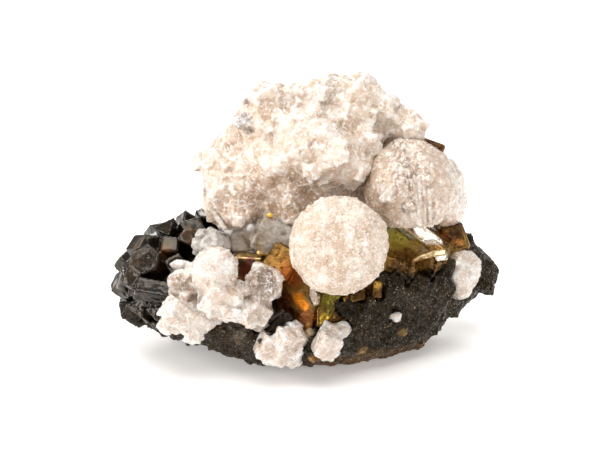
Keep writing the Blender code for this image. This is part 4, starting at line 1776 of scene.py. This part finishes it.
CLUSTERS = (
    CalciteCluster(
        ("calcite_disc_small_right",), "calcite_button_small", finish=GLASSY,
        colour=srgb(255, 253, 250), crusts=((3.0, 0.24), (1.2, 0.16)),
        tints=(
            Tint("shaded left side", 455, 268, 1.4, srgb(200, 184, 170), 0.7),
            Tint("white right side", 472, 270, 3.4, srgb(255, 255, 254), 1.0),
        ),
    ),
    CalciteCluster(
        ("calcite_cluster_left",), "calcite_rosettes_left",
        carriers=("matrix", "calcite_ball_grey", "sphalerite_crest", "sphalerite_front"),
        gap=0.35, blocks=Blocks(110, 1.2, 2.6, 33, 0.32), crusts=((2.2, 0.2), (1.0, 0.14)),
        lumps=(
            Lump("round main lump", 213, 272, (9.6, 7.0, 10.4), (0.0, 8.0, 0.0)),
            Cuboid("block under it", 224, 297, (7.0, 5.6, 6.4), (20.0, 30.0, 10.0)),
            Cuboid("lower middle block", 208, 311, (6.0, 4.6, 4.2), (0.0, -25.0, 30.0)),
            Cuboid("lower right block", 240, 308, (6.6, 4.6, 3.4), (30.0, 15.0, 0.0)),
            Cuboid("lower left block", 178, 313, (5.6, 4.6, 4.4), (0.0, 40.0, 20.0)),
            Cuboid("lowest block", 192, 318, (4.0, 3.8, 3.8), (25.0, 10.0, 20.0)),
            Lump("left lump", 180, 281, (4.8, 4.4, 5.0), (0.0, 10.0, 0.0)),
            Cuboid("right-hand block", 258, 312, (4.4, 3.6, 3.6), (0.0, 35.0, 20.0)),
            Lump("smoky lump", 261, 286, (7.6, 7.0, 7.0), (0.0, 15.0, 0.0)),
        ),
        tints=(
            Tint("beige left lump", 176, 282, 2.8, srgb(190, 168, 148), 0.9),
            Tint("smoky lump", 261, 286, 5.0, srgb(142, 118, 92), 0.95),
            Tint("brown top of the smoky lump", 264, 270, 2.2, srgb(128, 100, 60), 0.9),
            Tint("grey lower right", 258, 318, 2.6, srgb(214, 204, 194), 0.7),
            Tint("warm middle", 235, 288, 3.0, srgb(240, 216, 192), 0.6),
            Tint("dark pit", 198, 299, 1.3, srgb(70, 56, 44), 0.9),
        ),
    ),
    CalciteCluster(
        ("calcite_ball_grey",), "calcite_ball_clear", finish=ICE, crusts=((2.6, 0.14), (1.2, 0.12)),
        softening=2,
    ),
    CalciteCluster(
        ("calcite_clear_blocks",), "calcite_blocks_clear", finish=SMOKY,
        crusts=((2.4, 0.12), (1.0, 0.12)),
        lumps=(
            Cuboid("large clear block", 280, 234, (7.6, 6.4, 7.4), (10.0, 25.0, 0.0), rise=-0.25),
            Cuboid("small clear block", 262, 240, (5.0, 4.0, 4.0), (0.0, 30.0, 15.0), rise=-0.3),
        ),
    ),
    CalciteCluster(
        ("calcite_crystal_low_left",), "calcite_low_left", carriers=("matrix",),
        gap=0.5, blocks=Blocks(16, 0.9, 1.8, 33, 0.45), crusts=((2.6, 0.26), (1.0, 0.16)),
        lumps=(
            Cuboid("left block", 272, 349, (6.0, 4.4, 4.6), (0.0, 30.0, 15.0), rise=0.1),
            Cuboid("right block", 287, 343, (4.6, 4.2, 5.2), (20.0, 10.0, 30.0), rise=0.0),
        ),
        tints=(
            Tint("warm left foot", 268, 352, 2.4, srgb(226, 206, 188), 0.7),
            Tint("warm right foot", 292, 350, 2.2, srgb(222, 204, 186), 0.7),
        ),
    ),
    CalciteCluster(
        ("calcite_crystal_low_middle",), "calcite_low_middle", carriers=("matrix",),
        gap=0.4, blocks=Blocks(14, 0.9, 1.8, 33, 0.45), crusts=((2.6, 0.26), (1.0, 0.16)),
        lumps=(
            Cuboid("block on its front", 327, 344, (4.2, 4.0, 4.8), (10.0, 25.0, 15.0), rise=0.0),
        ),
    ),
    CalciteCluster(("calcite_grain_left",), "calcite_grain_on_black"),
    CalciteCluster(("calcite_grain_right",), "calcite_grain_on_rock"),
    CalciteCluster(
        ("calcite_cluster_back",), "calcite_rosettes_back", voxel=0.28, gap=0.6,
        blocks=Blocks(50, 1.0, 2.2, 33),
    ),
)

# Painted reflection: near-white paint on the bevel and step, whose faces also turn to mirror the bright
# floor.
PAINTED_REFLECTION_GOLD = srgb(255, 250, 238)
PALE_GOLD = srgb(226, 200, 156)
PYRITES = (
    PyriteCrystals(
        ("pyrite_right",), "pyrite_block_right",
        facets=(
            Facet(
                "bevel with a painted reflection", ((410, 223), (420, 224), (441, 240), (444, 250), (433, 250), (417, 235)),
                PAINTED_REFLECTION_GOLD, lift=0.5, depth=5.0, normal=(0.05, -1.0, 0.0),
            ),
            Facet(
                "pale step under the bevel", ((432, 251), (445, 250), (446, 254), (434, 256)),
                PALE_GOLD, lift=0.4, depth=2.0,
            ),
            Facet(
                "step below it with a painted reflection", ((436, 257), (446, 255), (447, 259), (437, 260)),
                PAINTED_REFLECTION_GOLD, lift=0.6, depth=2.0,
            ),
            Facet(
                "pale lower ledge", ((404, 267), (420, 256), (434, 251), (435, 257), (421, 260)),
                PALE_GOLD, lift=0.4,
            ),
            Facet(
                "pale growth line", ((394, 221), (397, 220), (424, 238), (422, 241)),
                srgb(220, 208, 180), lift=0.3,
            ),
            Facet(
                "grey growth line", ((386, 220), (389, 219), (414, 238), (412, 240)),
                srgb(150, 150, 120), lift=0.25,
            ),
        ),
        rough=(
            Tint("broken middle", 400, 259, 2.6, srgb(122, 88, 40), 0.9),
            Tint("broken lower middle", 404, 271, 3.0, srgb(84, 60, 30), 0.9),
            Tint("broken left foot", 390, 273, 2.6, srgb(96, 68, 32), 0.9),
            Tint("broken right foot", 437, 270, 2.6, srgb(92, 66, 34), 0.9),
            Tint("dark left crack", 396, 279, 2.2, srgb(32, 24, 14), 0.95),
            Tint("dark middle crack", 408, 279, 2.2, srgb(32, 24, 14), 0.95),
            Tint("dark right crack", 430, 277, 2.2, srgb(32, 24, 14), 0.95),
        ),
        tints=(
            Tint("green upper left corner", 388, 226, 1.8, srgb(84, 104, 88), 0.9),
            Tint("olive face", 396, 238, 3.2, srgb(152, 138, 54), 0.9),
            Tint("browner olive face", 412, 247, 2.4, srgb(136, 112, 50), 0.8),
            Tint("grey-brown edge", 422, 250, 1.4, srgb(116, 98, 72), 0.8),
            Tint("rosy top", 432, 229, 2.8, srgb(164, 128, 102), 0.9),
            Tint("rosy brown side", 440, 238, 2.2, srgb(152, 116, 84), 0.9),
            Tint("orange vein", 448, 236, 1.6, srgb(206, 122, 54), 0.9),
            Tint("brown right block", 456, 236, 2.6, srgb(116, 76, 42), 0.9),
            Tint("dark top of that block", 458, 226, 2.6, srgb(100, 70, 42), 0.9),
            Tint("orange corner", 461, 243, 1.2, srgb(214, 144, 74), 0.9),
        ),
    ),
    PyriteCrystals(
        ("pyrite_front",), "pyrite_amber_front", colour=srgb(120, 88, 36),
        facets=(
            Facet(
                "grey-lilac oval",
                ((309, 288), (314, 287), (319, 296), (318, 304), (314, 306), (310, 299)),
                srgb(158, 144, 128), lift=0.35,
            ),
            Facet(
                "upper olive face", ((314, 282), (330, 284), (342, 296), (328, 304), (322, 296)),
                srgb(120, 108, 34), lift=0.4,
            ),
            Facet(
                "lower olive face",
                ((323, 298), (328, 305), (340, 300), (330, 318), (318, 326), (318, 310)),
                srgb(98, 86, 26), lift=0.4,
            ),
        ),
        tints=(
            Tint("brown top", 276, 262, 3.0, srgb(146, 104, 46), 0.9),
            Tint("orange top", 288, 257, 2.0, srgb(168, 112, 50), 0.8),
            Tint("amber body", 290, 276, 3.6, srgb(136, 72, 14), 0.95),
            Tint("red-brown left side", 284, 300, 2.4, srgb(84, 38, 12), 0.9),
            Tint("dark red foot", 286, 311, 1.6, srgb(84, 20, 10), 0.9),
            Tint("brown slope", 304, 319, 2.8, srgb(118, 66, 26), 0.9),
            Tint("golden vein", 297, 299, 1.7, srgb(210, 126, 14), 0.95),
            Tint("end of the golden vein", 303, 306, 1.4, srgb(200, 116, 16), 0.9),
            Tint("pale foot", 306, 329, 1.4, srgb(196, 146, 84), 0.9),
            Tint("olive face", 326, 292, 2.6, srgb(130, 116, 38), 0.9),
            Tint("darker olive face", 330, 305, 2.4, srgb(104, 92, 28), 0.9),
            Tint("yellow edge", 326, 318, 1.6, srgb(184, 152, 44), 0.8),
            Tint("shade under the button", 345, 306, 3.2, srgb(16, 11, 6), 1.0),
            Tint("shade right of it", 362, 306, 3.0, srgb(16, 11, 6), 1.0),
        ),
    ),
    PyriteCrystals(
        ("pyrite_left",), "pyrite_cube_left", finish=STRIATED, colour=srgb(150, 118, 66),
        tints=(
            Tint("pale left corner", 231, 268, 1.6, srgb(190, 156, 120), 0.9),
            Tint("striated crystal", 250, 253, 3.0, srgb(188, 158, 108), 0.9),
            Tint("red-brown face", 249, 272, 3.0, srgb(96, 42, 14), 1.0),
            Tint("rosy edge", 252, 261, 1.3, srgb(140, 88, 82), 0.9),
            Tint("dark edge", 242, 264, 1.4, srgb(64, 30, 10), 0.9),
            Tint("pale top", 259, 246, 1.8, srgb(184, 154, 82), 0.9),
            Tint("dark crack", 270, 247, 1.4, srgb(56, 44, 18), 0.9),
        ),
    ),
    PyriteCrystals(
        ("pyrite_chips",), "pyrite_chips_front", colour=srgb(96, 68, 28),
        tints=(
            Tint("bright chip", 378, 282, 1.8, srgb(178, 138, 62), 0.9),
            Tint("brown chip", 350, 300, 1.4, srgb(140, 104, 44), 0.9),
        ),
    ),
    PyriteCrystals(("pyrite_top",), "pyrite_top_brown", colour=srgb(110, 74, 44)),
    PyriteCrystals(("pyrite_back",), "pyrite_cubes_back", voxel=0.25, colour=srgb(140, 110, 50)),
)

NEAR_BLACK: Triple = (0.02, 0.02, 0.02)
TO_THE_LIGHT: Triple = (0.0, -0.69, 0.72)
BLACKS = (
    BlackCrystals(
        ("sphalerite_crest",), "sphalerite_crest_black",
        extras=(Cuboid("long prism", 155, 292, (7.4, 3.6, 3.0), (30.0, 12.0, 0.0), rise=0.25),),
        tints=(
            # Painted reflections: teal on the prism, grey on a face and on the left edge.
            Tint("blue-green painted reflection on the prism", 155, 290, 1.6, srgb(16, 30, 34), 0.8),
            Tint("brown crystal", 166, 247, 3.2, srgb(58, 42, 26), 0.9),
            Tint("brown crystal at the back", 192, 232, 3.4, srgb(60, 44, 28), 0.9),
            Tint("brown crystal on the left", 130, 262, 3.2, srgb(50, 38, 26), 0.8),
            Tint("grey painted reflection on a face", 142, 242, 2.4, srgb(74, 68, 62), 0.6),
            Tint("grey painted reflection on the left edge", 118, 286, 1.6, srgb(120, 116, 112), 0.7),
        ),
    ),
    BlackCrystals(
        ("sphalerite_front",), "sphalerite_prisms_front",
        extras=(
            Facet(
                "long bright face", ((267, 319), (283, 309), (286, 312), (270, 322)),
                NEAR_BLACK, lift=0.5, depth=2.0, normal=TO_THE_LIGHT,
            ),
            Facet(
                "small side face", ((284, 303), (287, 304), (289, 308), (286, 308)),
                NEAR_BLACK, lift=0.5, depth=2.0, normal=(-0.49, -0.71, 0.52),
            ),
            Facet(
                "small lower face", ((287, 312), (290, 312), (293, 318), (290, 318)),
                NEAR_BLACK, lift=0.5, depth=2.0, normal=TO_THE_LIGHT,
            ),
        ),
    ),
)


ACCENTS = (
    Accent(
        "calcite_blade_white",
        Facet(
            "blade", ((211, 211), (215, 211), (227, 229), (223, 231), (216, 221)),
            WHITE, lift=1.0, depth=1.0, normal=(-0.2, -1.0, 0.1),
        ),
        ("calcite_mass_crust", "calcite_ball_clear"), FROSTED, WHITE,
    ),
    Accent(
        "pyrite_speck", Lump("gold speck", 269, 217, (1.6, 1.1, 1.1), (10.0, 20.0, 0.0), 0.4),
        ("calcite_mass_crust", "calcite_blocks_clear"), TARNISHED, srgb(226, 180, 90),
    ),
    Accent(
        "calcite_bead_clear", Lump("clear bead", 250, 229, (2.0, 2.0, 2.0), rise=0.6),
        ("calcite_blocks_clear", "calcite_mass_crust"), ICE, WHITE,
    ),
    Accent(
        "calcite_bead_low", Lump("low bead", 310, 335, (2.2, 1.8, 3.0), (0.0, 10.0, 0.0)),
        ("pyrite_amber_front", "matrix_rock"), SMOKY, srgb(226, 206, 170),
    ),
)


def main() -> None:
    """Builds the specimen, its studio and its camera."""
    logging.basicConfig(level=logging.INFO, format="%(message)s")
    EYE.build()
    Studio().build()
    assemblies = (
        CalciteMass(),
        FrontButton(),
        RightButton(),
        *CLUSTERS,
        *PYRITES,
        *BLACKS,
        MatrixRock(),
        *ACCENTS,
    )
    for assembly in assemblies:
        assembly.build()


if __name__ == "__main__":
    main()
